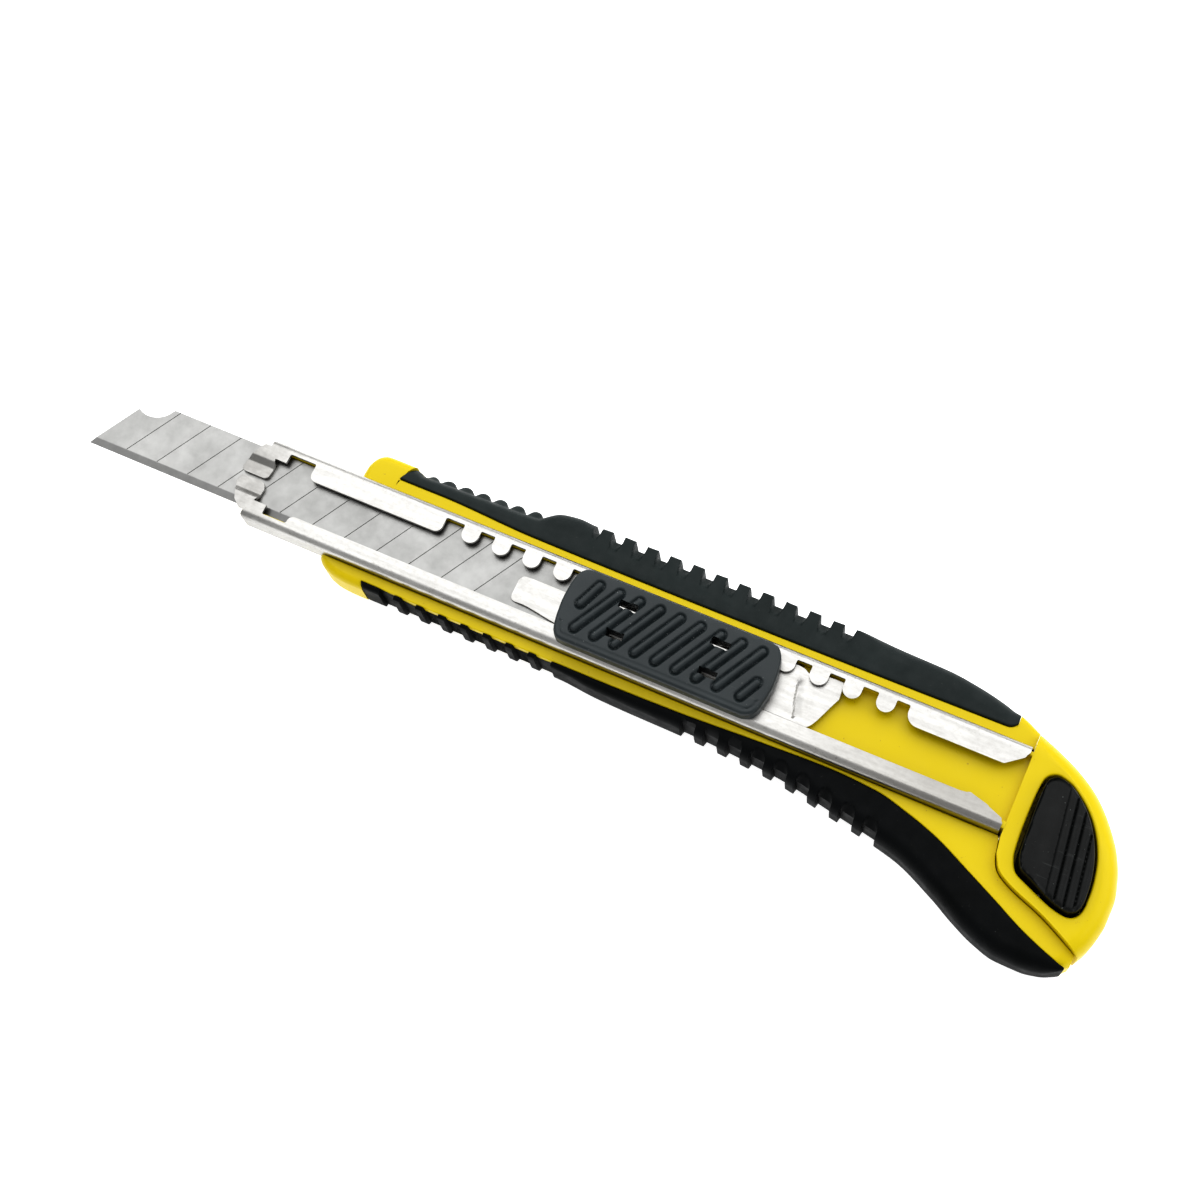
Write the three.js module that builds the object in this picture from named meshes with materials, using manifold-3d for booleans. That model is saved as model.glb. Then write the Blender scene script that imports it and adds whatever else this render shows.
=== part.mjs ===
// A 9 mm snap-off utility knife that loads its own spare blades.
// Millimetres. The knife lies on its flat back: +X runs from the blade's tip to the butt, +Y is the
// thumb side, +Z is up through the slider. The origin is on the flat back, under the rail's middle.
import * as THREE from "three";
import { mergeVertices } from "three/addons/utils/BufferGeometryUtils.js";
import Module from "manifold-3d";

const wasm = await Module();
wasm.setup();

// ---- Driving dimensions ----
const GAP = 0.15; // play between neighbouring mouldings
const FAR = 40; // reach of a cutting tool past the part

// Handle
const GRIP_TOP = 6.1;
const SHELL_TOP = 5.8;
const CAP_TOP = 7.2;
const GRIP_ROUND = 1.9;
const SHELL_ROUND = 1.2;
const CAP_ROUND = 1.9;
const CAP_FRONT = 51.7; // where the end cap meets the rail
const KNOB_PITCH = 2.63; // small knobs ahead of the thumb's rest
const THUMB_RIB_PITCH = 3.37;
const FRONT_RIB_PITCH = 3.4; // finger side, ahead of the middle
const FINGER_RIB_PITCH = 3.34; // finger side, behind the middle
const BED_PLAY = 0.1; // beside the rail
const BED_SINK = 0.05; // under the rail

// Tongue of the shell inside the end cap, with the window that the latch drops into
const TONGUE_FROM = 50;
const TONGUE_END = 57.6;
const TONGUE_HALF = 5;
const TONGUE_TOP = 1.5;
const TONGUE_PLAY = 0.3;
const WINDOW_FRONT = 54.2;
const WINDOW_REAR = 56.4;
const WINDOW_LOW = -4;
const WINDOW_HIGH = 0;

// Rail, a folded steel channel
const SHEET = 0.5;
const RAIL_HALF = 6.05;
const RAIL_BEND = 0.6;
const RAIL_BOTTOM = 3.5;
const RAIL_TOP = 7.8;
const RAIL_END = 51.4;
const LIP_EDGE_LOW = -3.35; // inner edge of the plain lip
const LIP_EDGE_HIGH = 2.35; // inner edge of the wide parts of the lock lip
const LOCK_PITCH = 4.63;
const LOCK_FINGERS = 14;
const LOCK_FIRST = -27.95; // middle of the first lock finger
const LOCK_HALF = 1.25; // half a finger's width
const LOCK_TIP = 2.6;
const LOCK_ROOT = 4.85;

// Blade
const BLADE_LENGTH = 80;
const BLADE_EDGE = -4.3;
const BLADE_WIDTH = 9;
const BLADE_THICK = 0.4;
const BLADE_TOP = 6.6;
const BLADE_TIP = -85;
const BLADE_SLANT = Math.PI / 3;
const BLADE_BEVEL = 1.05;
const SCORE_PITCH = 5;
const SCORE_LINES = 12;
const SCORE_DEPTH = 0.07;
const SCORE_HALF = 0.06;
const HOLE_FROM_TAIL = 4.4;
const HOLE_RADIUS = 1;
const NOTCH_RADIUS = 3.4; // round cut in the spine behind the tip
const NOTCH_FROM_TIP = 6;
const NOTCH_RISE = 1.2; // of its centre above the spine

// Magazine, in the rail under the blade
const TRAY_BOTTOM = 4.05;
const TRAY_FLOOR = 4.45;
const TRAY_HALF = 5.4;
const TRAY_TOP = 7.2;
const TRAY_INNER_LOW = -4.42;
const TRAY_INNER_HIGH = 4.82;
const TRAY_FRONT = -60.9;
const TRAY_BLOCK = 20.6; // the solid rear part starts behind the spare blades
const TRAY_BLOCK_TOP = 6.12;
const SPARE_TIP = -60.4;
const SPARE_TOPS = [5.28, 5.71, 6.14];
const TRAY_TAIL = 53.6; // the tray's rear tongue is pressed into the cap
const TRAY_TAIL_HALF = 3.5;
const RIVET_X = 15;
const RIVET_HOLE = 0.8;
const RIVET_SHANK = 0.65;
const RIVET_HEAD = 1.3;

// Slider
const CARRIER_BOTTOM = 6.65;
const CARRIER_TOP = 7.1;
const PAD_FRONT = -11.9;
const PAD_REAR = 18.5;
const PAD_BOTTOM = 7.95;
const PAD_TOP = 10.6;
const PAD_HALF = 5.55;
const PAD_WALL = 1.2;
const TAB_PLACES = [-3.35, 9.9]; // along X, of the four tabs in their slots
const TAB_SIDE = 2.15;
const TAB_LENGTH = 2.3;
const TAB_SHEET = 0.4;
const PAD_RIBS = 8;
const PAD_RIB_PITCH = 2.92;
const PAD_RIB_RISE = 0.4;
const STUD_X = BLADE_TIP + BLADE_LENGTH - HOLE_FROM_TAIL;
const STUD_Y = BLADE_EDGE + BLADE_WIDTH / 2;

// End button, a rocker on a pin
const PIN_X = 59;
const PIN_Z = 5.2;
const PIN_RADIUS = 0.75;
const BUTTON_BOTTOM = 2.9;
const BUTTON_TOP = 8.6;
const BUTTON_PLAY = 0.45;
const POCKET_FLOOR = 2;
const SPRING_X = 62;
const SPRING_Y = -5.5;
const SPRING_TOP = 5;
const LATCH_FRONT = 54.95;
const LATCH_REAR = 58;
const LATCH_LOW = -3.7;
const LATCH_HIGH = -0.3;
const LATCH_BEND = 2.4; // the clip's foot turns down below here

// ---- Materials ----
const finish = (color, roughness, metalness) =>
  new THREE.MeshStandardMaterial({ color, roughness, metalness });
const yellow = finish(0xf0d000, 0.4, 0);
const rubber = finish(0x2b3033, 0.75, 0);
const blackPlastic = finish(0x202528, 0.5, 0);
const railSteel = finish(0xc8c9c6, 0.3, 1);
const bladeSteel = finish(0xb4b5b3, 0.35, 1);
const springSteel = finish(0xa9adb0, 0.3, 1);

// ---- Solids ----
function solid(geometry) {
  geometry.deleteAttribute("normal");
  geometry.deleteAttribute("uv");
  const merged = mergeVertices(geometry, 1e-4);
  return new wasm.Manifold(
    new wasm.Mesh({
      numProp: 3,
      vertProperties: new Float32Array(merged.attributes.position.array),
      triVerts: new Uint32Array(merged.index.array),
    }),
  );
}

function geometryOf(made) {
  const mesh = made.getMesh();
  const geometry = new THREE.BufferGeometry();
  geometry.setAttribute("position", new THREE.BufferAttribute(mesh.vertProperties, 3));
  geometry.setIndex(new THREE.BufferAttribute(mesh.triVerts, 1));
  return geometry;
}

const points = (pairs) => pairs.map(([x, y]) => new THREE.Vector2(x, y));
const polygon = (pairs) => new THREE.Shape(points(pairs));
const join = (first, ...others) => others.reduce((sum, next) => sum.add(next), first);
const cut = (first, ...others) => others.reduce((rest, next) => rest.subtract(next), first);

// A straight-sided prism of a plan outline.
function slab(outline, bottom, top, curveSegments = 3) {
  const geometry = new THREE.ExtrudeGeometry(outline, {
    depth: top - bottom,
    bevelEnabled: false,
    curveSegments,
  });
  return solid(geometry.translate(0, 0, bottom));
}

// A prism of a plan outline with its top and bottom edges rounded.
function pillow(outline, bottom, top, round, curveSegments = 3) {
  const geometry = new THREE.ExtrudeGeometry(outline, {
    depth: top - bottom - 2 * round,
    bevelThickness: round,
    bevelSize: round,
    bevelOffset: -round,
    bevelSegments: 3,
    curveSegments,
  });
  return solid(geometry.translate(0, 0, bottom + round));
}

// A tall prism of a plan outline grown on every side.
function grown(outline, by, bottom = -FAR, curveSegments = 3) {
  const geometry = new THREE.ExtrudeGeometry(outline, {
    depth: 2 * FAR,
    bevelThickness: 1,
    bevelSize: 0,
    bevelOffset: by,
    bevelSegments: 1,
    curveSegments,
  });
  return solid(geometry.translate(0, 0, bottom + 1));
}

function block(x0, x1, y0, y1, z0, z1) {
  const geometry = new THREE.BoxGeometry(x1 - x0, y1 - y0, z1 - z0);
  return solid(geometry.translate((x0 + x1) / 2, (y0 + y1) / 2, (z0 + z1) / 2));
}

// A prism along X of an outline drawn in Y and Z.
function alongX(outline, x0, x1) {
  const turned = new THREE.Matrix4().makeBasis(
    new THREE.Vector3(0, 1, 0),
    new THREE.Vector3(0, 0, 1),
    new THREE.Vector3(1, 0, 0),
  );
  const geometry = new THREE.ExtrudeGeometry(outline, {
    depth: x1 - x0,
    bevelEnabled: false,
    curveSegments: 3,
  });
  return solid(geometry.applyMatrix4(turned).translate(x0, 0, 0));
}

// A prism along Y of an outline drawn in X and Z.
function alongY(outline, y0, y1) {
  const geometry = new THREE.ExtrudeGeometry(outline, {
    depth: y1 - y0,
    bevelEnabled: false,
  });
  return solid(geometry.rotateX(Math.PI / 2).translate(0, y1, 0));
}

function post(x, y, radius, z0, z1, sides = 14) {
  const geometry = new THREE.CylinderGeometry(radius, radius, z1 - z0, sides);
  return solid(geometry.rotateX(Math.PI / 2).translate(x, y, (z0 + z1) / 2));
}

function rodAlongY(x, z, radius, y0, y1, sides = 12) {
  const geometry = new THREE.CylinderGeometry(radius, radius, y1 - y0, sides);
  return solid(geometry.translate(x, (y0 + y1) / 2, z));
}

function roundedRectangle(x0, x1, y0, y1, r) {
  const s = new THREE.Shape();
  s.moveTo(x0 + r, y0);
  s.lineTo(x1 - r, y0);
  s.absarc(x1 - r, y0 + r, r, -Math.PI / 2, 0);
  s.lineTo(x1, y1 - r);
  s.absarc(x1 - r, y1 - r, r, 0, Math.PI / 2);
  s.lineTo(x0 + r, y1);
  s.absarc(x0 + r, y1 - r, r, Math.PI / 2, Math.PI);
  s.lineTo(x0, y0 + r);
  s.absarc(x0 + r, y0 + r, r, Math.PI, 1.5 * Math.PI);
  return s;
}

// Height of a chain of points at x.
function heightAt(chain, x) {
  const i = Math.max(1, chain.findIndex(([px]) => px >= x));
  const [x0, y0] = chain[i - 1];
  const [x1, y1] = chain[i];
  return y0 + ((y1 - y0) * (x - x0)) / (x1 - x0);
}

// ---- Handle outlines, seen from above ----
const FINGER_SIDE = [
  [-10, -8.4], [-4, -8.95], [8, -9.15], [21.5, -9.95], [31.4, -11.6],
  [40.5, -13.4], [50.2, -18], [56.5, -20.2], [61.5, -19.9], [64.9, -17.7],
];
const THUMB_SIDE = [
  [-41, 10.75], [-21.5, 11.6], [-17.7, 12.7], [-15.6, 12.85], [-13.7, 12.7], [25, 12.7],
  [31.6, 12.4],
];
const UPPER_SPLIT = [[-35, 8], [-20, 7.4], [0, 7.3], [20, 7.4], [47.3, 7.7]];
const LOWER_SPLIT = [
  [-28, -7.7], [-4, -7.65], [7.5, -7.45], [19, -6.9], [29, -6.55], [35.3, -6.9],
  [44.3, -9.4], [53.9, -13.9], [63.1, -18], [68, -19.8],
];
const CAP_SEAM = [[52.1, -8.6], [53, -10.4], [54.8, -11.6], [60.1, -13.7], [69, -18.3]];

function handleOutline() {
  const s = new THREE.Shape();
  s.moveTo(-46.4, -5.6);
  s.splineThru(points([[-45.2, -7], [-43.2, -8.1], [-41.3, -8.5]]));
  s.lineTo(-37, -8.35);
  s.lineTo(...FINGER_SIDE[0]);
  s.splineThru(points(FINGER_SIDE.slice(1)));
  s.splineThru(points([[67.1, -13.9], [67.7, -8.8], [65.8, -2.4], [60.9, 3.9], [51.2, 8.95]]));
  s.splineThru(points([[45, 11.1], [38, 12.3], [31.6, 12.4]]));
  THUMB_SIDE.slice(0, -1).reverse().forEach(([x, y]) => s.lineTo(x, y));
  s.splineThru(points([[-44.8, 10.8], [-46.5, 9.2], [-46.7, 7]]));
  return s;
}

// Everything on the thumb side of the upper split, between its slanted start and its round end.
function upperGripRegion() {
  const s = new THREE.Shape();
  s.moveTo(-41.5, 8);
  s.splineThru(points(UPPER_SPLIT));
  s.absarc(47.3, 9.2, 1.5, -Math.PI / 2, 0);
  s.lineTo(48.8, 20);
  s.lineTo(-35, 20);
  return s;
}

function lowerGripRegion() {
  const s = new THREE.Shape();
  s.moveTo(-39.6, -7.5);
  s.splineThru(points(LOWER_SPLIT));
  s.lineTo(68, -30);
  s.lineTo(-34, -30);
  s.lineTo(-38.4, -9.2);
  return s;
}

const capRegion = () =>
  polygon([[CAP_FRONT, 20], [CAP_FRONT, 5.8], [52.1, -6.4], ...CAP_SEAM, [90, -18.3], [90, 20]]);

// One valley between two ribs, a round-ended cut from the outside.
function valley(x, depthEdge, side, half) {
  const s = new THREE.Shape();
  s.moveTo(x + half, side * FAR);
  s.lineTo(x - half, side * FAR);
  s.lineTo(x - half, depthEdge + side * half);
  s.absarc(x, depthEdge + side * half, half, Math.PI, side > 0 ? 2 * Math.PI : 0, side < 0);
  return slab(s, -1, CAP_TOP);
}

function valleys(chain, first, pitch, count, side, depth, half) {
  return Array.from({ length: count }, (_, k) => {
    const x = first + k * pitch;
    return valley(x, heightAt(chain, x) - side * depth, side, half);
  });
}

function upperGrip() {
  const blank = pillow(handleOutline(), 0, GRIP_TOP, GRIP_ROUND).intersect(
    slab(upperGripRegion(), -1, CAP_TOP),
  );
  return cut(
    blank,
    ...valleys(THUMB_SIDE, -39, KNOB_PITCH, 8, 1, 0.75, 0.6),
    ...valleys(THUMB_SIDE, -12.97, THUMB_RIB_PITCH, 12, 1, 1.05, 0.8),
  );
}

function lowerGrip() {
  const front = [[-41, -8.4], [-10, -8.4]];
  const blank = pillow(handleOutline(), 0, GRIP_TOP, GRIP_ROUND).intersect(
    slab(lowerGripRegion(), -1, CAP_TOP),
  );
  return cut(
    blank,
    ...valleys(front, -35.5, FRONT_RIB_PITCH, 8, -1, 0.45, 0.7),
    ...valleys(FINGER_SIDE, 9.7, FINGER_RIB_PITCH, 9, -1, 0.9, 0.75),
  );
}

// ---- Handle shell ----
function handleShell() {
  const bedHalf = RAIL_HALF + BED_PLAY;
  const railBed = block(-FAR * 2, CAP_FRONT + 5, -bedHalf, bedHalf, RAIL_BOTTOM - BED_SINK, FAR);
  const tongue = block(TONGUE_FROM, TONGUE_END, -TONGUE_HALF, TONGUE_HALF, 0, TONGUE_TOP);
  const catchWindow = block(WINDOW_FRONT, WINDOW_REAR, WINDOW_LOW, WINDOW_HIGH, -1, 3);
  const shell = cut(
    pillow(handleOutline(), 0, SHELL_TOP, SHELL_ROUND),
    grown(upperGripRegion(), GAP),
    grown(lowerGripRegion(), GAP),
    grown(capRegion(), GAP),
    railBed,
  );
  return cut(join(shell, tongue), catchWindow);
}

// ---- Rail ----
// The channel's closed section, with its opening cut in afterwards.
function railTube() {
  const outer = roundedRectangle(-RAIL_HALF, RAIL_HALF, RAIL_BOTTOM, RAIL_TOP, RAIL_BEND);
  const inside = RAIL_HALF - SHEET;
  outer.holes.push(
    polygon([
      [-inside, RAIL_BOTTOM + SHEET],
      [-inside, RAIL_TOP - SHEET],
      [inside, RAIL_TOP - SHEET],
      [inside, RAIL_BOTTOM + SHEET],
    ]),
  );
  return alongX(outer, -61.2, RAIL_END);
}

// The opening between the lips, with one round finger for each lock position.
function lipOpening() {
  const s = new THREE.Shape();
  s.moveTo(-63, -4.7);
  s.lineTo(-52.4, -4.7);
  s.lineTo(-52.4, LIP_EDGE_LOW);
  s.lineTo(45.4, LIP_EDGE_LOW + 0.2);
  s.lineTo(49.4, -3.5);
  s.lineTo(52, -5.3);
  s.lineTo(52, 4.8);
  s.lineTo(49, LIP_EDGE_HIGH);
  s.lineTo(37, LIP_EDGE_HIGH);
  s.quadraticCurveTo(35.3, LIP_EDGE_HIGH, 35.3, LOCK_ROOT);
  for (let k = LOCK_FINGERS - 1; k >= 0; k--) {
    const x = LOCK_FIRST + k * LOCK_PITCH;
    s.lineTo(x + LOCK_HALF, LOCK_ROOT);
    s.lineTo(x + LOCK_HALF, LOCK_TIP + LOCK_HALF);
    s.absarc(x, LOCK_TIP + LOCK_HALF, LOCK_HALF, 0, -Math.PI, true);
    s.lineTo(x - LOCK_HALF, LOCK_ROOT);
  }
  s.lineTo(-32, LOCK_ROOT);
  s.lineTo(-32, LIP_EDGE_HIGH);
  s.lineTo(-52.2, LIP_EDGE_HIGH);
  s.lineTo(-52.2, 4.9);
  s.lineTo(-63, 4.9);
  return slab(s, RAIL_TOP - SHEET - 0.1, RAIL_TOP + 1, 4);
}

// A nose finger: the lip, dipped so that its tip presses on the blade.
function noseFinger(side, root, tip) {
  const high = RAIL_TOP;
  const low = BLADE_TOP + 0.05 + SHEET;
  const s = polygon([
    [side * root, high],
    [side * 3.8, high],
    [side * 2.8, low],
    [side * tip, low],
    [side * tip, low - SHEET],
    [side * 3, low - SHEET],
    [side * 4, high - SHEET],
    [side * root, high - SHEET],
  ]);
  return alongX(s, -62.2, -58);
}

function bladeRail() {
  const nose = polygon([
    [-59.2, -7], [-59.2, -5.6], [-61, -4], [-62.2, -2], [-62.2, 2], [-61.2, 4.1], [-60.2, 5.5],
    [-59.5, 7], [FAR * 2, 7], [FAR * 2, -7],
  ]);
  const bridges = [
    block(-61.2, -56.3, 3.9, 5.2, RAIL_TOP - SHEET, RAIL_TOP),
    block(-61.2, -56.2, -5.2, -3.9, RAIL_TOP - SHEET, RAIL_TOP),
  ];
  const open = cut(railTube(), lipOpening());
  const whole = join(open, ...bridges, noseFinger(1, 5.2, 0.35), noseFinger(-1, 5.2, 0.4));
  return whole.intersect(slab(nose, 0, FAR));
}

// ---- Blades ----
function blade(tip, top) {
  const spine = BLADE_EDGE + BLADE_WIDTH;
  const grind = BLADE_EDGE + BLADE_BEVEL;
  const bottom = top - BLADE_THICK;
  const section = polygon([
    [spine, bottom],
    [spine, top],
    [grind, top],
    [BLADE_EDGE, top - BLADE_THICK / 2],
    [grind, bottom],
  ]);
  const slant = BLADE_WIDTH / Math.tan(BLADE_SLANT);
  const plan = polygon([
    [tip, BLADE_EDGE],
    [tip + BLADE_LENGTH, BLADE_EDGE],
    [tip + BLADE_LENGTH, spine],
    [tip + slant, spine],
  ]);
  const scores = Array.from({ length: SCORE_LINES }, (_, k) => {
    const x = tip + (k + 1) * SCORE_PITCH;
    const groove = polygon([
      [x - SCORE_HALF, BLADE_EDGE],
      [x + SCORE_HALF, BLADE_EDGE],
      [x + SCORE_HALF + slant, spine],
      [x - SCORE_HALF + slant, spine],
    ]);
    return slab(groove, top - SCORE_DEPTH, top + 1);
  });
  const bar = alongX(section, tip - 1, tip + BLADE_LENGTH + 1);
  const holeX = tip + BLADE_LENGTH - HOLE_FROM_TAIL;
  const holeY = BLADE_EDGE + BLADE_WIDTH / 2;
  return cut(
    bar.intersect(slab(plan, bottom - 1, top + 1)),
    post(tip + NOTCH_FROM_TIP, spine + NOTCH_RISE, NOTCH_RADIUS, bottom - 1, top + 1, 24),
    post(holeX, holeY, HOLE_RADIUS, bottom - 1, top + 1),
    ...scores,
  );
}

// ---- Magazine ----
function magazineTray() {
  const spares = block(SPARE_TIP - 0.2, TRAY_BLOCK, TRAY_INNER_LOW, TRAY_INNER_HIGH, TRAY_FLOOR, FAR);
  const path = block(-FAR * 2, FAR * 2, TRAY_INNER_LOW, TRAY_INNER_HIGH, TRAY_BLOCK_TOP, FAR);
  const bar = block(TRAY_FRONT, CAP_FRONT - 0.2, -TRAY_HALF, TRAY_HALF, TRAY_BOTTOM, TRAY_TOP);
  const tail = block(50, TRAY_TAIL, -TRAY_TAIL_HALF, TRAY_TAIL_HALF, TRAY_BOTTOM, 5.9);
  const nose = polygon([
    [-59, -6], [-59, -5.4], [-60.9, -3.9], [-60.9, 3.9], [-59.8, 5.4], [-59.8, 6], [FAR * 2, 6],
    [FAR * 2, -6],
  ]);
  const tray = join(cut(bar, spares, path), tail).intersect(slab(nose, 0, FAR));
  return cut(tray, post(RIVET_X, 0, RIVET_HOLE, 0, FAR));
}

// An arched strip under the spare blades, higher at its two waves.
function magazineSpring() {
  const sheet = 0.12;
  const front = -48;
  const length = 66;
  const half = 2.5;
  const arch = 0.17;
  const steps = 24;
  const under = Array.from({ length: steps + 1 }, (_, i) => {
    const t = i / steps;
    const lift = arch * (1 - Math.cos(4 * Math.PI * t)) / 2;
    return [front + length * t, TRAY_FLOOR + 0.03 + lift];
  });
  const over = under.map(([x, z]) => [x, z + sheet]).reverse();
  const strip = alongY(polygon([...under, ...over]), -half, half);
  return cut(strip, post(RIVET_X, 0, RIVET_HOLE, 0, FAR));
}

function springRivet() {
  return join(
    post(RIVET_X, 0, RIVET_SHANK, TRAY_BOTTOM + 0.05, TRAY_FLOOR + 0.35),
    post(RIVET_X, 0, RIVET_HEAD, TRAY_FLOOR + 0.22, TRAY_FLOOR + 0.4),
  );
}

// ---- Slider ----
function bladeCarrier() {
  const plan = new THREE.Shape();
  plan.moveTo(-19.3, 0.9);
  plan.lineTo(-19.3, -1.7);
  plan.quadraticCurveTo(-19.3, -2.3, -18.4, -2.3);
  plan.lineTo(-17.6, -2.3);
  plan.lineTo(-11, -3.1);
  plan.lineTo(23.9, -3.1);
  plan.lineTo(26.6, 2.1);
  plan.lineTo(23.6, 4.5);
  plan.lineTo(21.7, 2.4);
  plan.lineTo(19.6, 4.2);
  plan.lineTo(-10, 4.2);
  plan.lineTo(-11.5, 1.6);
  plan.lineTo(-18.6, 1.6);
  plan.quadraticCurveTo(-19.3, 1.6, -19.3, 0.9);
  const tabs = TAB_PLACES.flatMap((x) =>
    [-1, 1].map((side) => {
      const inner = side * (TAB_SIDE - 0.5);
      const outer = inner + side * TAB_SHEET;
      return block(
        x - TAB_LENGTH / 2, x + TAB_LENGTH / 2, Math.min(inner, outer), Math.max(inner, outer),
        CARRIER_BOTTOM, PAD_TOP - 0.7,
      );
    }),
  );
  const plate = slab(plan, CARRIER_BOTTOM, CARRIER_TOP, 4);
  return cut(join(plate, ...tabs), post(STUD_X, STUD_Y, 0.85, 0, FAR));
}

function carrierStud() {
  return join(
    post(STUD_X, STUD_Y, 0.7, BLADE_TOP - BLADE_THICK + 0.03, CARRIER_TOP + 0.2),
    post(STUD_X, STUD_Y, 1.4, CARRIER_TOP + 0.03, CARRIER_TOP + 0.4),
  );
}

function padOutline() {
  const s = new THREE.Shape();
  s.moveTo(-10.9, -4.3);
  s.quadraticCurveTo(-10.8, -PAD_HALF, -9.2, -PAD_HALF);
  s.lineTo(16.6, -PAD_HALF);
  s.quadraticCurveTo(18, -PAD_HALF, 18.2, -4);
  s.quadraticCurveTo(PAD_REAR + 0.3, 0, 17.6, 3.7);
  s.quadraticCurveTo(17.3, 5.1, 15.9, 5.1);
  s.lineTo(-9, 5.1);
  s.quadraticCurveTo(-10.8, 5.1, -11.2, 3.9);
  s.quadraticCurveTo(PAD_FRONT - 0.4, 0, -10.9, -4.3);
  return s;
}

function sliderPad() {
  const deck = PAD_TOP - PAD_RIB_RISE;
  const ribs = Array.from({ length: PAD_RIBS }, (_, k) => {
    const x = -8.7 + PAD_RIB_PITCH * k;
    const rib = polygon([[x - 0.45, -3.6], [x + 0.45, -3.6], [x + 4.25, 3.5], [x + 3.35, 3.5]]);
    return slab(rib, deck - 0.2, PAD_TOP);
  });
  const slots = TAB_PLACES.flatMap((x) =>
    [-TAB_SIDE, TAB_SIDE].map((y) => block(x - 1.3, x + 1.3, y - 0.55, y + 0.55, PAD_BOTTOM, FAR)),
  );
  const hollow = block(-9, 16.3, -4.4, 4.45, PAD_BOTTOM - 1, deck - PAD_WALL);
  const shape = pillow(padOutline(), PAD_BOTTOM - 1, deck, 0.9, 4);
  const trimmed = cut(shape, block(-FAR, FAR, -FAR, FAR, 0, PAD_BOTTOM));
  return cut(join(trimmed, ...ribs), hollow, ...slots);
}

// A bowed spring strip with the tooth that drops between two lock fingers.
function lockSpring() {
  const tooth = LOCK_FIRST + 6.5 * LOCK_PITCH;
  const strip = polygon([
    [-7.5, -0.5], [-5, -0.2], [tooth - 1, 1.1], [tooth + 1, 1.1], [8.6, -0.2], [11, -0.5],
    [11, -0.15], [8.7, 0.15], [tooth + 1, 1.45], [tooth - 1, 1.45], [-5.1, 0.15], [-7.5, -0.15],
  ]);
  const nib = polygon([
    [tooth - 0.8, 1.3], [tooth + 0.8, 1.3], [tooth + 0.7, 3.6], [tooth + 0.25, 4.3],
    [tooth - 0.25, 4.3], [tooth - 0.7, 3.6],
  ]);
  return join(slab(strip, 8, 8.7), slab(nib, 7.4, 8.7));
}

// ---- End cap and its button ----
function buttonOutline() {
  const s = new THREE.Shape();
  s.moveTo(54.6, 1.6);
  s.lineTo(54.9, -8.4);
  s.quadraticCurveTo(55, -9.6, 56.2, -10);
  s.lineTo(61.4, -12.2);
  s.quadraticCurveTo(64.1, -13, 64.1, -9.6);
  s.quadraticCurveTo(64, -1.4, 58.4, 2.5);
  s.quadraticCurveTo(55, 4.4, 54.6, 1.6);
  return s;
}

function endCap() {
  const blank = pillow(handleOutline(), 0, CAP_TOP, CAP_ROUND).intersect(slab(capRegion(), -1, FAR));
  const pocket = grown(buttonOutline(), BUTTON_PLAY, POCKET_FLOOR, 4);
  const slotHalf = TONGUE_HALF + TONGUE_PLAY;
  const slotEnd = TONGUE_END + TONGUE_PLAY + 0.1;
  const tongueSlot = block(0, slotEnd, -slotHalf, slotHalf, -1, TONGUE_TOP + TONGUE_PLAY);
  const latchHole = block(
    WINDOW_FRONT - TONGUE_PLAY, WINDOW_REAR + TONGUE_PLAY,
    WINDOW_LOW - TONGUE_PLAY, WINDOW_HIGH + TONGUE_PLAY,
    0, 3,
  );
  const tailHalf = TRAY_TAIL_HALF + 0.2;
  const trayPocket = block(0, TRAY_TAIL + 0.2, -tailHalf, tailHalf, TRAY_BOTTOM - 0.2, 6.1);
  const pinHole = rodAlongY(PIN_X, PIN_Z, PIN_RADIUS + 0.1, -12.9, 4.1);
  return cut(blank, pocket, tongueSlot, latchHole, trayPocket, pinHole);
}

function endButton() {
  const body = pillow(buttonOutline(), BUTTON_BOTTOM, BUTTON_TOP, 0.6, 4);
  const pinHole = rodAlongY(PIN_X, PIN_Z, PIN_RADIUS + 0.15, -FAR, FAR);
  const grooves = Array.from({ length: 4 }, (_, k) => {
    const x = 58.7 + 1.3 * k;
    const groove = polygon([[x, 3], [x + 0.5, 3], [x + 1.9, -13], [x + 1.4, -13]]);
    return slab(groove, BUTTON_TOP - 0.5, FAR);
  });
  const springSeat = post(SPRING_X, SPRING_Y, 2, 0, SPRING_TOP);
  return cut(body, pinHole, springSeat, ...grooves);
}

const buttonPin = () => rodAlongY(PIN_X, PIN_Z, PIN_RADIUS, -12.6, 3.8);

// A coil spring as a wire swept along a helix.
function buttonSpring() {
  const turns = 4;
  const coil = 1.35;
  const wire = 0.2;
  const bottom = POCKET_FLOOR + wire + 0.05;
  const rise = SPRING_TOP - bottom - wire - 0.05;
  class Helix extends THREE.Curve {
    getPoint(t, target = new THREE.Vector3()) {
      const a = 2 * Math.PI * turns * t;
      const x = SPRING_X + coil * Math.cos(a);
      const y = SPRING_Y + coil * Math.sin(a);
      return target.set(x, y, bottom + rise * t);
    }
  }
  const section = new THREE.Shape();
  section.absarc(0, 0, wire, 0, 2 * Math.PI);
  const geometry = new THREE.ExtrudeGeometry(section, {
    steps: turns * 12,
    extrudePath: new Helix(),
    curveSegments: 6,
    bevelEnabled: false,
  });
  return solid(geometry);
}

// A sheet clip under the button, whose foot holds the cap on the shell's tongue.
function capLatch() {
  return join(
    block(LATCH_FRONT, LATCH_REAR, LATCH_LOW, LATCH_HIGH, LATCH_BEND - 0.05, BUTTON_BOTTOM - 0.05),
    block(LATCH_FRONT, LATCH_FRONT + 1.15, LATCH_LOW, LATCH_HIGH, 1.1, LATCH_BEND),
  );
}

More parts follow.
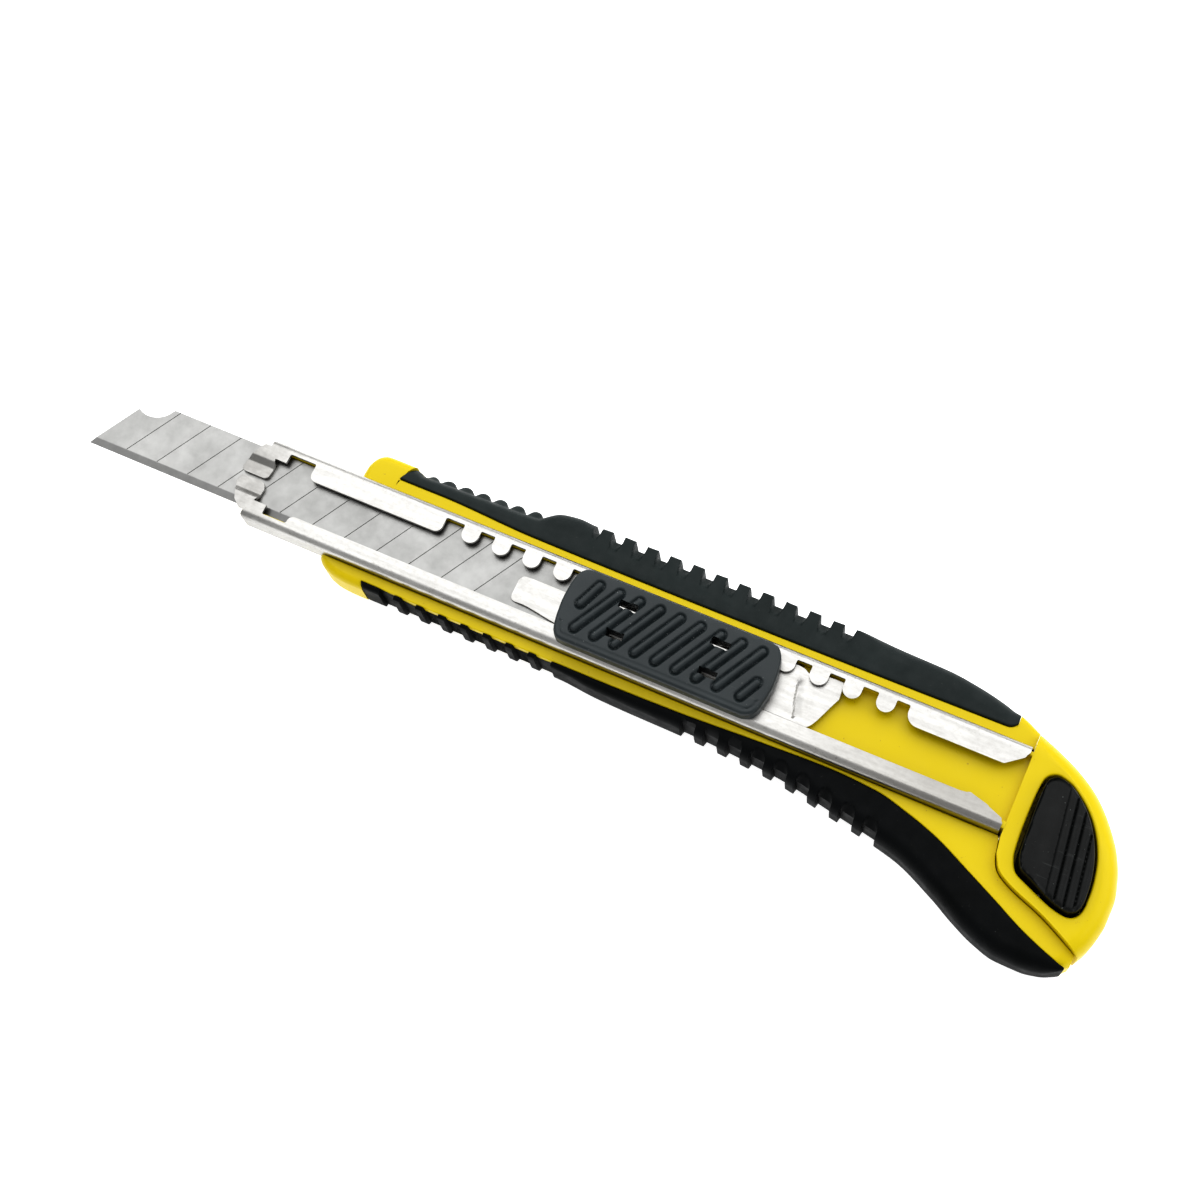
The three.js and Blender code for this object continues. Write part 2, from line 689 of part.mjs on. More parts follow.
// ---- The knife ----
const knife = new THREE.Group();
function add(name, made, material) {
  const mesh = new THREE.Mesh(geometryOf(made), material);
  mesh.name = name;
  knife.add(mesh);
}

add("handle_shell", handleShell(), yellow);
add("upper_grip", upperGrip(), rubber);
add("lower_grip", lowerGrip(), rubber);
add("blade_rail", bladeRail(), railSteel);
add("magazine_tray", magazineTray(), yellow);
add("magazine_spring", magazineSpring(), springSteel);
add("spring_rivet", springRivet(), springSteel);
SPARE_TOPS.forEach((top, i) => add(`spare_blade_${i + 1}`, blade(SPARE_TIP, top), bladeSteel));
add("snap_off_blade", blade(BLADE_TIP, BLADE_TOP), bladeSteel);
add("blade_carrier", bladeCarrier(), railSteel);
add("carrier_stud", carrierStud(), springSteel);
add("slider_pad", sliderPad(), blackPlastic);
add("lock_spring", lockSpring(), springSteel);
add("end_cap", endCap(), yellow);
add("end_button", endButton(), blackPlastic);
add("button_pin", buttonPin(), springSteel);
add("button_spring", buttonSpring(), springSteel);
add("cap_latch", capLatch(), springSteel);

export default knife;
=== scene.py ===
"""Looks of a 9 mm snap-off utility knife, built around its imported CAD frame.

Shapes are worked out in millimetres in the CAD model's own frame and become metres when a mesh is made.
+X runs from the blade's tip to the butt, +Y is the thumb side and +Z is up through the slider.
"""

import math

import bmesh
import bpy
import numpy as np
from mathutils import Matrix, Vector


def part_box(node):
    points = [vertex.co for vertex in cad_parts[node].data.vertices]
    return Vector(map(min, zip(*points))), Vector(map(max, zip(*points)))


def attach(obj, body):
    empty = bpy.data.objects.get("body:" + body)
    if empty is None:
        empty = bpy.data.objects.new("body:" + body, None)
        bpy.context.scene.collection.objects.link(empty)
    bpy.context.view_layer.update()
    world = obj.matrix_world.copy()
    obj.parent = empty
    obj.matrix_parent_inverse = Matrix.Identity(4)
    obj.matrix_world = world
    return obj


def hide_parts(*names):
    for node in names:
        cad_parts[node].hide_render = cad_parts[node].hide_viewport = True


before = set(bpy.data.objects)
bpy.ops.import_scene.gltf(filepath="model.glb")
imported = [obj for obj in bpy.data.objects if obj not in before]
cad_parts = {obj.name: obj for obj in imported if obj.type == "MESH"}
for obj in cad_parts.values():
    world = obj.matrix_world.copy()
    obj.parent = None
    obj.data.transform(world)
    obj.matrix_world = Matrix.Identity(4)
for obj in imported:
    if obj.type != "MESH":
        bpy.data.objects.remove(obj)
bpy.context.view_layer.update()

MM = 0.001


def box_mm(node):
    """Lowest and highest corner of a CAD node, in millimetres."""
    low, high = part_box(node)
    return low / MM, high / MM


# ---- Levels and ends, read from the frame ----
shell_low, shell_high = box_mm("handle_shell")
rail_low, rail_high = box_mm("blade_rail")
blade_low, blade_high = box_mm("snap_off_blade")
tray_low, tray_high = box_mm("magazine_tray")
pad_low, pad_high = box_mm("slider_pad")
carrier_low, carrier_high = box_mm("blade_carrier")
cap_low, cap_high = box_mm("end_cap")
button_low, button_high = box_mm("end_button")
grip_top = box_mm("upper_grip")[1].z

# ---- Handle outlines, seen from above ----
THUMB_SIDE = [
    (-41.5, 10.75), (-30, 11.2), (-21.5, 11.62), (-19.8, 12.0), (-17.7, 12.62), (-15.6, 12.84),
    (-13.7, 12.7), (-12, 12.68), (25, 12.7), (31.6, 12.4), (38, 12.2), (42.5, 11.6), (46.1, 10.8),
    (49, 9.75), (51.75, 8.5),
]
FINGER_SIDE = [
    (-39.6, -8.4), (-24, -8.35), (-10, -8.4), (-4, -8.9), (0.5, -9.05), (8, -9.15), (21.5, -9.95),
    (31.4, -11.6), (40.5, -13.4), (46.8, -16.1), (50.2, -17.9), (53.6, -19.4), (56.9, -20.25),
    (60, -20.3), (62.4, -19.9), (64, -19.2), (65.1, -18.35), (65.9, -16.65),
]
UPPER_SPLIT = [(-46, 8), (-35, 8), (-20, 7.4), (0, 7.3), (20, 7.4), (47.3, 7.7)]
LOWER_SPLIT = [
    (-46, -7.55), (-39.6, -7.55), (-28, -7.7), (-4, -7.65), (7.5, -7.45), (19, -6.9), (29, -6.55),
    (35.3, -6.9), (39.8, -7.95), (44.3, -9.4), (49.1, -11.6), (53.9, -13.9), (58.6, -16.2),
    (63.1, -17.9), (65.3, -18.5), (66, -18.6),
]
SEAM = [(51.75, -6.3), (52.1, -8.6), (53, -10.4), (54.8, -11.6), (60.1, -13.7), (65.9, -16.65)]
BUTT = [
    (65.9, -16.65), (66.7, -15.1), (67.2, -13.5), (67.6, -11.2), (67.65, -8.6), (67.1, -5.6),
    (65.9, -2.5), (63.8, 0.7), (61, 3.7), (57.8, 5.85), (54.3, 7.5), (51.75, 8.48),
]
NOSE_UPPER = [(-46.75, 6.2), (-46.7, 8.0), (-46.3, 9.3), (-45.5, 10.3), (-44.4, 10.75), (-41, 10.75)]
NOSE_LOWER = [
    (-46.75, -6.1), (-46.5, -6.7), (-45.9, -7.3), (-44.9, -7.85), (-43.2, -8.3), (-41.3, -8.45), (-38, -8.4),
]


# ---- Numbers ----
def curve(points):
    """A smooth height y(x) through a chain of points, with no overshoot."""
    px, py = np.array(points, float).T
    step = np.diff(px)
    slope = np.diff(py) / step
    left, right = slope[:-1], slope[1:]
    total = np.where(left + right == 0, 1, left + right)
    tangent = np.empty_like(px)
    tangent[1:-1] = np.where(left * right > 0, 2 * left * right / total, 0)
    tangent[0], tangent[-1] = slope[0], slope[-1]

    def at(x):
        x = np.clip(x, px[0], px[-1])
        i = np.clip(np.searchsorted(px, x) - 1, 0, len(step) - 1)
        t = (x - px[i]) / step[i]
        a = 2 * t**3 - 3 * t**2 + 1
        b = t**3 - 2 * t**2 + t
        c = t**3 - t**2
        return a * py[i] + b * step[i] * tangent[i] + (1 - a) * py[i + 1] + c * step[i] * tangent[i + 1]

    return at


def smooth(t):
    """0 below 0, 1 above 1, with an easy turn at both ends."""
    t = np.clip(t, 0, 1)
    return t * t * (3 - 2 * t)


def droop(distance, radius):
    """How far a rounded edge lies under its flat, at a distance in from the edge."""
    d = np.clip(distance, 0, radius)
    return radius - np.sqrt(np.maximum(radius**2 - (radius - d) ** 2, 0))


def spans(*parts):
    """Places along an axis: each part is (start, end, step)."""
    marks = [np.linspace(a, b, max(2, int(round((b - a) / s)) + 1)) for a, b, s in parts]
    return np.unique(np.round(np.concatenate(marks), 5))


def stations(*groups, digits=4):
    """Places from several groups, in order and each only once."""
    return np.unique(np.round(np.concatenate(groups), digits))


def round_end(place, reach, count):
    """Places that crowd towards a rounded end, going inwards over a reach with a sign."""
    return place + reach * (1 - np.cos(np.linspace(0, math.pi / 2, count)))


def eased(start, end, radius_start, radius_end, middle, turns=6):
    """Places from start to end that crowd into both rounded ends."""
    angle = np.linspace(0, math.pi / 2, turns)
    sign = 1 if end > start else -1
    head = start + sign * radius_start * (1 - np.cos(angle))
    tail = end - sign * radius_end * (1 - np.cos(angle[::-1]))
    body = np.linspace(head[-1], tail[0], middle + 2)[1:-1]
    return np.concatenate([head, body, tail])


def distance_to(x, y, chain):
    """Distance of every grid point to a polyline."""
    best = np.full(np.shape(x), 1e9)
    for (ax, ay), (bx, by) in zip(chain[:-1], chain[1:]):
        dx, dy = bx - ax, by - ay
        t = np.clip(((x - ax) * dx + (y - ay) * dy) / (dx * dx + dy * dy), 0, 1)
        best = np.minimum(best, np.hypot(x - ax - t * dx, y - ay - t * dy))
    return best


def dense(points, step=0.4):
    """A smooth chain through points, with about one point every step."""
    p = np.array(points, float)
    length = np.concatenate([[0], np.cumsum(np.hypot(*np.diff(p, axis=0).T))])
    t = np.linspace(0, length[-1], int(length[-1] / step) + 2)
    along_x, along_y = (curve(list(zip(length, p[:, k]))) for k in (0, 1))
    return list(zip(along_x(t), along_y(t)))


def between(x, low, high, share):
    """A grid of places from one curve to another, at shares of the way."""
    y = low(x)[:, None] + share[None, :] * (high(x) - low(x))[:, None]
    return widened(x, y), y


def widened(x, y):
    """The x of every place in a grid y."""
    return np.repeat(x[:, None], y.shape[1], 1)


def closed_outline(x, low, high):
    """The loop round a plate that lies between two curves."""
    outline = list(zip(x, low(x))) + list(zip(x[::-1], high(x[::-1])))
    return outline + outline[:1]


# ---- Meshes ----
def linked(name, data):
    """A new object in the scene."""
    obj = bpy.data.objects.new(name, data)
    bpy.context.scene.collection.objects.link(obj)
    return obj


def applied(obj):
    """The mesh of an object with its modifiers applied."""
    return bpy.data.meshes.new_from_object(obj.evaluated_get(bpy.context.evaluated_depsgraph_get()))


def clean_mesh(name, verts, faces, merge=0.002):
    """A mesh from points in millimetres, with close points merged and faces turned out."""
    mesh = bpy.data.meshes.new(name)
    mesh.from_pydata([Vector(v) * MM for v in verts], [], faces)
    bm = bmesh.new()
    bm.from_mesh(mesh)
    bmesh.ops.remove_doubles(bm, verts=bm.verts, dist=merge * MM)
    bmesh.ops.recalc_face_normals(bm, faces=bm.faces)
    bm.to_mesh(mesh)
    bm.free()
    return mesh


def finish_mesh(name, shape, material, body, nodes, sharp=32):
    """A closed piece from points in millimetres, riding on its body and standing for its CAD nodes."""
    return finish_object(name, clean_mesh(name, *shape), material, body, nodes, sharp)


def finish_object(name, mesh, material, body, nodes, sharp=32):
    """The object of a finished mesh: smooth faces, crisp where they meet at more than the sharp angle."""
    mesh.materials.clear()
    mesh.materials.append(material)
    mesh.polygons.foreach_set("use_smooth", [True] * len(mesh.polygons))
    mesh.set_sharp_from_angle(angle=math.radians(sharp))
    obj = linked(name, mesh)
    weighted = obj.modifiers.new("weighted", "WEIGHTED_NORMAL")
    weighted.keep_sharp = True
    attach(obj, body)
    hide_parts(*nodes)
    return obj


def grid_faces(x, y, top, bottom, mask=None):
    """Points and faces of a solid between two heights, over all or the masked cells of a grid."""
    rows, columns = x.shape
    if mask is None:
        mask = np.ones((rows - 1, columns - 1), bool)
    index = np.arange(rows * columns).reshape(rows, columns)
    offset = rows * columns
    verts = np.concatenate([
        np.stack([x, y, top], -1).reshape(-1, 3),
        np.stack([x, y, bottom], -1).reshape(-1, 3),
    ])
    faces = []
    padded = np.zeros((rows + 1, columns + 1), bool)
    padded[1:-1, 1:-1] = mask
    for i, j in zip(*np.nonzero(mask)):
        a, b, c, d = index[i, j], index[i + 1, j], index[i + 1, j + 1], index[i, j + 1]
        faces.append((a, b, c, d))
        faces.append((d + offset, c + offset, b + offset, a + offset))
        sides = ((b, a, i + 1, j), (d, c, i + 1, j + 2), (a, d, i, j + 1), (c, b, i + 2, j + 1))
        for p, q, next_i, next_j in sides:
            if not padded[next_i, next_j]:
                faces.append((p, q, q + offset, p + offset))
    used = sorted({v for f in faces for v in f})
    renumber = {v: n for n, v in enumerate(used)}
    return verts[used], [tuple(renumber[v] for v in f) for f in faces]


def loft_faces(rings):
    """Points and faces of a closed skin over rings of points, with flat ends."""
    rings = np.asarray(rings, float)
    count, size = rings.shape[:2]
    faces = []
    for i in range(count - 1):
        for k in range(size):
            n = (k + 1) % size
            faces.append((i * size + k, i * size + n, (i + 1) * size + n, (i + 1) * size + k))
    faces.append(tuple(range(size - 1, -1, -1)))
    faces.append(tuple((count - 1) * size + k for k in range(size)))
    return rings.reshape(-1, 3), faces


def box_faces(low, high):
    (x0, y0, z0), (x1, y1, z1) = low, high
    verts = [(x, y, z) for z in (z0, z1) for y in (y0, y1) for x in (x0, x1)]
    faces = [(0, 2, 3, 1), (4, 5, 7, 6), (0, 1, 5, 4), (2, 6, 7, 3), (0, 4, 6, 2), (1, 3, 7, 5)]
    return verts, faces


def cut_boxes(mesh, boxes):
    """Cuts boxes, in millimetres, out of a closed mesh."""
    target = linked("target", mesh)
    for low, high in boxes:
        verts, faces = box_faces(low, high)
        tool_mesh = bpy.data.meshes.new("tool")
        tool_mesh.from_pydata([Vector(v) * MM for v in verts], [], faces)
        tool = linked("tool", tool_mesh)
        modifier = target.modifiers.new("cut", "BOOLEAN")
        modifier.operation = "DIFFERENCE"
        modifier.solver = "EXACT"
        modifier.object = tool
        result = applied(target)
        target.modifiers.clear()
        target.data = result
        bpy.data.objects.remove(tool)
    result = target.data
    bpy.data.objects.remove(target)
    return result


# ---- Materials ----
class Nodes:
    """A short way to write one material's nodes."""

    def __init__(self, name):
        self.material = bpy.data.materials.new(name)
        self.material.use_nodes = True
        self.tree = self.material.node_tree
        self.shader = self.tree.nodes["Principled BSDF"]
        self.place = self.add("ShaderNodeTexCoord").outputs["Object"]

    def add(self, kind, **values):
        node = self.tree.nodes.new(kind)
        for key, value in values.items():
            setattr(node, key, value)
        return node

    def feed(self, socket, value):
        """Sets a socket to a number or a colour, or links it to another node's output."""
        if isinstance(value, (int, float)):
            socket.default_value = value
        elif isinstance(value, tuple):
            socket.default_value = (*value, 1)
        else:
            self.tree.links.new(value, socket)

    def noise(self, per_mm, detail=4, roughness=0.55, stretch=(1, 1, 1)):
        mapping = self.add("ShaderNodeMapping")
        mapping.inputs["Scale"].default_value = stretch
        self.feed(mapping.inputs["Vector"], self.place)
        node = self.add("ShaderNodeTexNoise")
        node.inputs["Scale"].default_value = per_mm / MM
        node.inputs["Detail"].default_value = detail
        node.inputs["Roughness"].default_value = roughness
        self.feed(node.inputs["Vector"], mapping.outputs["Vector"])
        return node.outputs["Fac"]

    def along(self, axis, length, shift=0.0):
        """Place along an axis of the object, in lengths of so many millimetres, moved by a shift."""
        parts = self.add("ShaderNodeSeparateXYZ")
        self.feed(parts.inputs[0], self.place)
        share = self.times(parts.outputs[axis], 1 / (length * MM))
        return self.plus(share, shift) if shift else share

    def ramp(self, value, *stops):
        """A colour ramp; each stop is (place, grey or colour)."""
        node = self.add("ShaderNodeValToRGB")
        for element, (place, colour) in zip(node.color_ramp.elements, stops):
            element.position = place
            rgb = colour if isinstance(colour, tuple) else (colour,) * 3
            element.color = (*rgb, 1)
        self.feed(node.inputs["Fac"], value)
        return node.outputs["Color"]

    def blend(self, value, low, high):
        """From low at 0.3 to high at 0.7, which is about the range of a noise."""
        return self.ramp(value, (0.3, low), (0.7, high))

    def above(self, value, start, end):
        """0 up to start, 1 from end on."""
        return self.ramp(value, (start, 0.0), (end, 1.0))

    def below(self, value, start, end):
        """1 up to start, 0 from end on."""
        return self.ramp(value, (start, 1.0), (end, 0.0))

    def mix(self, amount, a, b):
        node = self.add("ShaderNodeMix", data_type="RGBA")
        for index, value in ((0, amount), (6, a), (7, b)):
            self.feed(node.inputs[index], value)
        return node.outputs[2]

    def maths(self, operation, a, b=0.0):
        node = self.add("ShaderNodeMath", operation=operation)
        self.feed(node.inputs[0], a)
        self.feed(node.inputs[1], b)
        return node.outputs[0]

    def times(self, a, b):
        return self.maths("MULTIPLY", a, b)

    def plus(self, a, b):
        return self.maths("ADD", a, b)

    def bump(self, height, depth_mm, strength=1.0, under=None):
        node = self.add("ShaderNodeBump")
        node.inputs["Strength"].default_value = strength
        node.inputs["Distance"].default_value = depth_mm * MM
        self.feed(node.inputs["Height"], height)
        if under is not None:
            self.feed(node.inputs["Normal"], under)
        return node.outputs["Normal"]

    def set(self, **sockets):
        names = {
            "colour": "Base Color", "rough": "Roughness", "metal": "Metallic", "normal": "Normal",
            "specular": "Specular IOR Level", "anisotropic": "Anisotropic",
        }
        for key, value in sockets.items():
            self.feed(self.shader.inputs[names[key]], value)
        return self.material


def yellow_plastic():
    """Semi-gloss moulded plastic: faint flow marks, small specks of dirt, a fine moulded grain."""
    n = Nodes("yellow_plastic")
    flow = n.noise(0.05, 3, stretch=(0.5, 1, 1))
    base = n.blend(flow, (0.68, 0.53, 0.0), (0.72, 0.57, 0.001))
    specks = n.above(n.noise(1.6, 2), 0.735, 0.76)
    colour = n.mix(n.times(specks, 0.5), base, (0.35, 0.2, 0.02))
    rough = n.blend(n.noise(0.35, 5), 0.30, 0.42)
    grain = n.bump(n.noise(5, 3), 0.006)
    waves = n.bump(n.noise(0.25, 2), 0.03, 0.5, grain)
    return n.set(colour=colour, rough=rough, normal=waves, specular=0.32)


def soft_rubber(name, dark, light, specular):
    """Matte soft-touch grip: charcoal, with dusty patches and a fine pebble."""
    n = Nodes(name)
    base = n.blend(n.noise(0.12, 4), dark, light)
    dust = n.above(n.noise(3.2, 3), 0.70, 0.80)
    colour = n.mix(n.times(dust, 0.18), base, (0.25, 0.25, 0.24))
    rough = n.blend(n.noise(0.5, 5), 0.50, 0.66)
    pebble = n.bump(n.noise(4, 4), 0.012)
    return n.set(colour=colour, rough=rough, normal=pebble, specular=specular)


def black_plastic(name, dark, light, specular):
    """Satin hard plastic of the slider pad and the button, with scuffs and pale specks."""
    n = Nodes(name)
    base = n.blend(n.noise(0.15, 4), dark, light)
    specks = n.above(n.noise(2.6, 2), 0.73, 0.76)
    scratches = n.above(n.noise(0.9, 5, 0.7, (0.12, 1.6, 1)), 0.62, 0.70)
    marks = n.plus(n.times(specks, 0.45), n.times(scratches, 0.06))
    colour = n.mix(marks, base, (0.34, 0.36, 0.35))
    rough = n.blend(n.noise(0.6, 5), 0.36, 0.50)
    grain = n.bump(n.noise(4.5, 3), 0.010)
    return n.set(colour=colour, rough=rough, normal=grain, specular=specular)


def rail_steel():
    """Bright cold-rolled stainless sheet, streaked along it, with scuffs and flecks that gather at the bends.

    Painted shade darkens it at the nose, in patches, at the rear of the finger-side lip, and low down on the
    side walls behind the nose.
    """
    n = Nodes("rail_steel")
    streaks = n.noise(1.4, 4, 0.6, (0.06, 1, 1))
    base = n.blend(streaks, (0.49, 0.485, 0.47), (0.60, 0.595, 0.58))
    side = n.maths("ABSOLUTE", n.along("Y", 6))
    scuffs = n.above(n.noise(1.9, 6, 0.78, (0.55, 1, 1)), 0.46, 0.62)
    flecks = n.above(n.noise(3.4, 3, 0.7), 0.60, 0.68)
    flecks = n.times(flecks, n.above(side, 0.70, 0.90))
    marks = n.plus(n.times(scuffs, 0.25), n.times(flecks, 0.7))
    colour = n.mix(marks, base, (0.30, 0.29, 0.27))
    # Painted shade on the nose: past about x = -53 mm the steel is darkened, in blotchy patches.
    nose = n.below(n.along("X", 100, 0.8), 0.20, 0.27)
    patches = n.above(n.noise(0.32, 4, 0.6), 0.40, 0.60)
    painted_nose_shade = n.times(nose, n.plus(n.times(patches, 0.35), 0.35))
    colour = n.mix(painted_nose_shade, colour, (0.25, 0.245, 0.235))
    # Painted shade on the rear of the finger-side lip.
    rear = n.above(n.along("X", 100, 0.3), 0.50, 0.72)
    finger_side_lip = n.below(n.along("Y", 10, 0.5), 0.20, 0.30)
    colour = n.mix(n.times(n.times(rear, finger_side_lip), 0.55), colour, (0.25, 0.24, 0.22))
    # Painted shade low down on the side walls, behind the nose.
    low = n.below(n.along("Z", 10), 0.62, 0.76)
    behind_nose = n.above(n.along("X", 100, 0.5), 0.03, 0.08)
    wall = n.above(side, 0.84, 0.92)
    colour = n.mix(n.times(n.times(n.times(low, behind_nose), wall), 0.5), colour, (0.22, 0.19, 0.16))
    rough = n.ramp(n.noise(0.8, 6, 0.7, (0.3, 1, 1)), (0.3, 0.27), (0.72, 0.42))
    lines = n.bump(n.noise(3.5, 4, 0.6, (0.05, 1, 1)), 0.004)
    dents = n.bump(n.noise(0.9, 5), 0.014, 0.7, lines)
    return n.set(colour=colour, rough=rough, metal=1.0, normal=dents, anisotropic=0.25)


def blade_steel():
    """Fine ground carbon steel: a grey satin with cross-ground lines, a darker edge and faint stains."""
    n = Nodes("blade_steel")
    base = n.ramp(n.noise(0.22, 5, 0.6), (0.32, (0.29, 0.29, 0.284)), (0.68, (0.38, 0.38, 0.373)))
    spots = n.above(n.noise(2.2, 3), 0.70, 0.76)
    colour = n.mix(n.times(spots, 0.4), base, (0.30, 0.29, 0.27))
    rough = n.blend(n.noise(0.7, 5, 0.65), 0.28, 0.40)
    bevel = n.below(n.along("Y", 10, 0.5), 0.165, 0.180)
    colour = n.mix(n.times(bevel, 0.75), colour, (0.17, 0.17, 0.168))
    ground = n.bump(n.noise(5.5, 4, 0.6, (1, 0.06, 1)), 0.003)
    return n.set(colour=colour, rough=rough, metal=1.0, normal=ground)


def spring_steel(name="spring_steel", dark=(0.46, 0.47, 0.48), light=(0.62, 0.62, 0.63)):
    """Small steel parts, bright or blued, with a turned or drawn grain."""
    n = Nodes(name)
    base = n.blend(n.noise(0.8, 4), dark, light)
    rough = n.blend(n.noise(1.5, 4), 0.22, 0.38)
    grain = n.bump(n.noise(6, 3), 0.003)
    return n.set(colour=base, rough=rough, metal=1.0, normal=grain)


YELLOW = yellow_plastic()
THUMB_RUBBER = soft_rubber("thumb_rubber", (0.012, 0.019, 0.019), (0.019, 0.028, 0.028), 0.35)
# The finger-side grip's rubber is a darker, less glossy copy of the thumb side's: painted shade.
FINGER_RUBBER_PAINTED_SHADE = soft_rubber("finger_rubber_painted_shade", (0.003, 0.004, 0.004), (0.006, 0.007, 0.008), 0.14)
PAD_BLACK = black_plastic("pad_plastic", (0.024, 0.032, 0.035), (0.036, 0.046, 0.050), 0.5)
BUTTON_BLACK = black_plastic("button_plastic", (0.004, 0.005, 0.005), (0.007, 0.008, 0.008), 0.3)
RAIL = rail_steel()
BLADE = blade_steel()
SPRING = spring_steel()
BLUED = spring_steel("blued_steel", (0.030, 0.028, 0.030), (0.055, 0.050, 0.050))

# ---- Handle shell ----
SPLIT_PLAY = 0.05  # half of the gap between the shell and a grip
SEAM_PLAY = 0.06  # the gap between the shell and the cap
UPPER_START, UPPER_LEAN = -41.5, 0.54  # where the upper grip starts, and how its end leans
UPPER_END = 48.6
BEHIND_GRIP = UPPER_END + 0.05  # from here on the shell reaches the thumb side
LOWER_START, LOWER_LEAN = -39.6, 0.70
RAIL_BED = rail_low.z - 0.05
BED_HALF = -rail_low.y + 0.03
TONGUE_END, TONGUE_HALF, TONGUE_TOP = 57.6, 5.0, 1.5
SHELL_END = cap_low.x - 0.03
NOSE_REACH, NOSE_ROUND, NOSE_BEHIND = 5.5, 1.25, -36
WEDGE_START, WEDGE_END, TAIL_BARE = 60, 65.4, 62.4  # the shell's tail beside the cap
WINDOW = (54.2, 56.4)  # the latch's window in the tongue
CAP_ROUND, CAP_DROP = 2.4, 1.08  # the cap's rounded top edge, and how much steeper than round it falls
SHOULDER_ROUND, TAIL_ROUND = 0.85, 1.8
STRIP_MIDDLE = 4
STRIP_POINTS = STRIP_MIDDLE + 12  # places across the strip on each side of the rail's bed
upper_split, lower_split = curve(UPPER_SPLIT), curve(LOWER_SPLIT)
thumb_side, finger_side = curve(THUMB_SIDE), curve(FINGER_SIDE)
nose_upper, nose_lower = curve(NOSE_UPPER), curve(NOSE_LOWER)
seam = curve(SEAM)


def end_arc(x, start=47.3, radius=1.5):
    """How far the round rear end of the upper grip lifts its inner edge."""
    return droop(start + radius - x, radius)


def shell_edges(x):
    """Outer edges of the yellow shell at x: finger side and thumb side."""
    low = np.where(x < LOWER_START, nose_lower(x), lower_split(x) + SPLIT_PLAY)
    low = np.where(x > TAIL_BARE, np.maximum(low, finger_side(x) + 0.02), low)
    split = upper_split(x) - SPLIT_PLAY + end_arc(x)
    high = np.where(x < UPPER_START, nose_upper(x), np.minimum(split, thumb_side(x) - 0.1))
    return low, np.where(x > BEHIND_GRIP, thumb_side(x), high)


def shell_strip(start, end, radius_start, radius_end):
    """Places across one strip of the shell, beside the rail's bed."""
    most = 0.45 * max(end - start, 0.06)
    return eased(start, end, min(radius_start, most), min(radius_end, most), STRIP_MIDDLE)


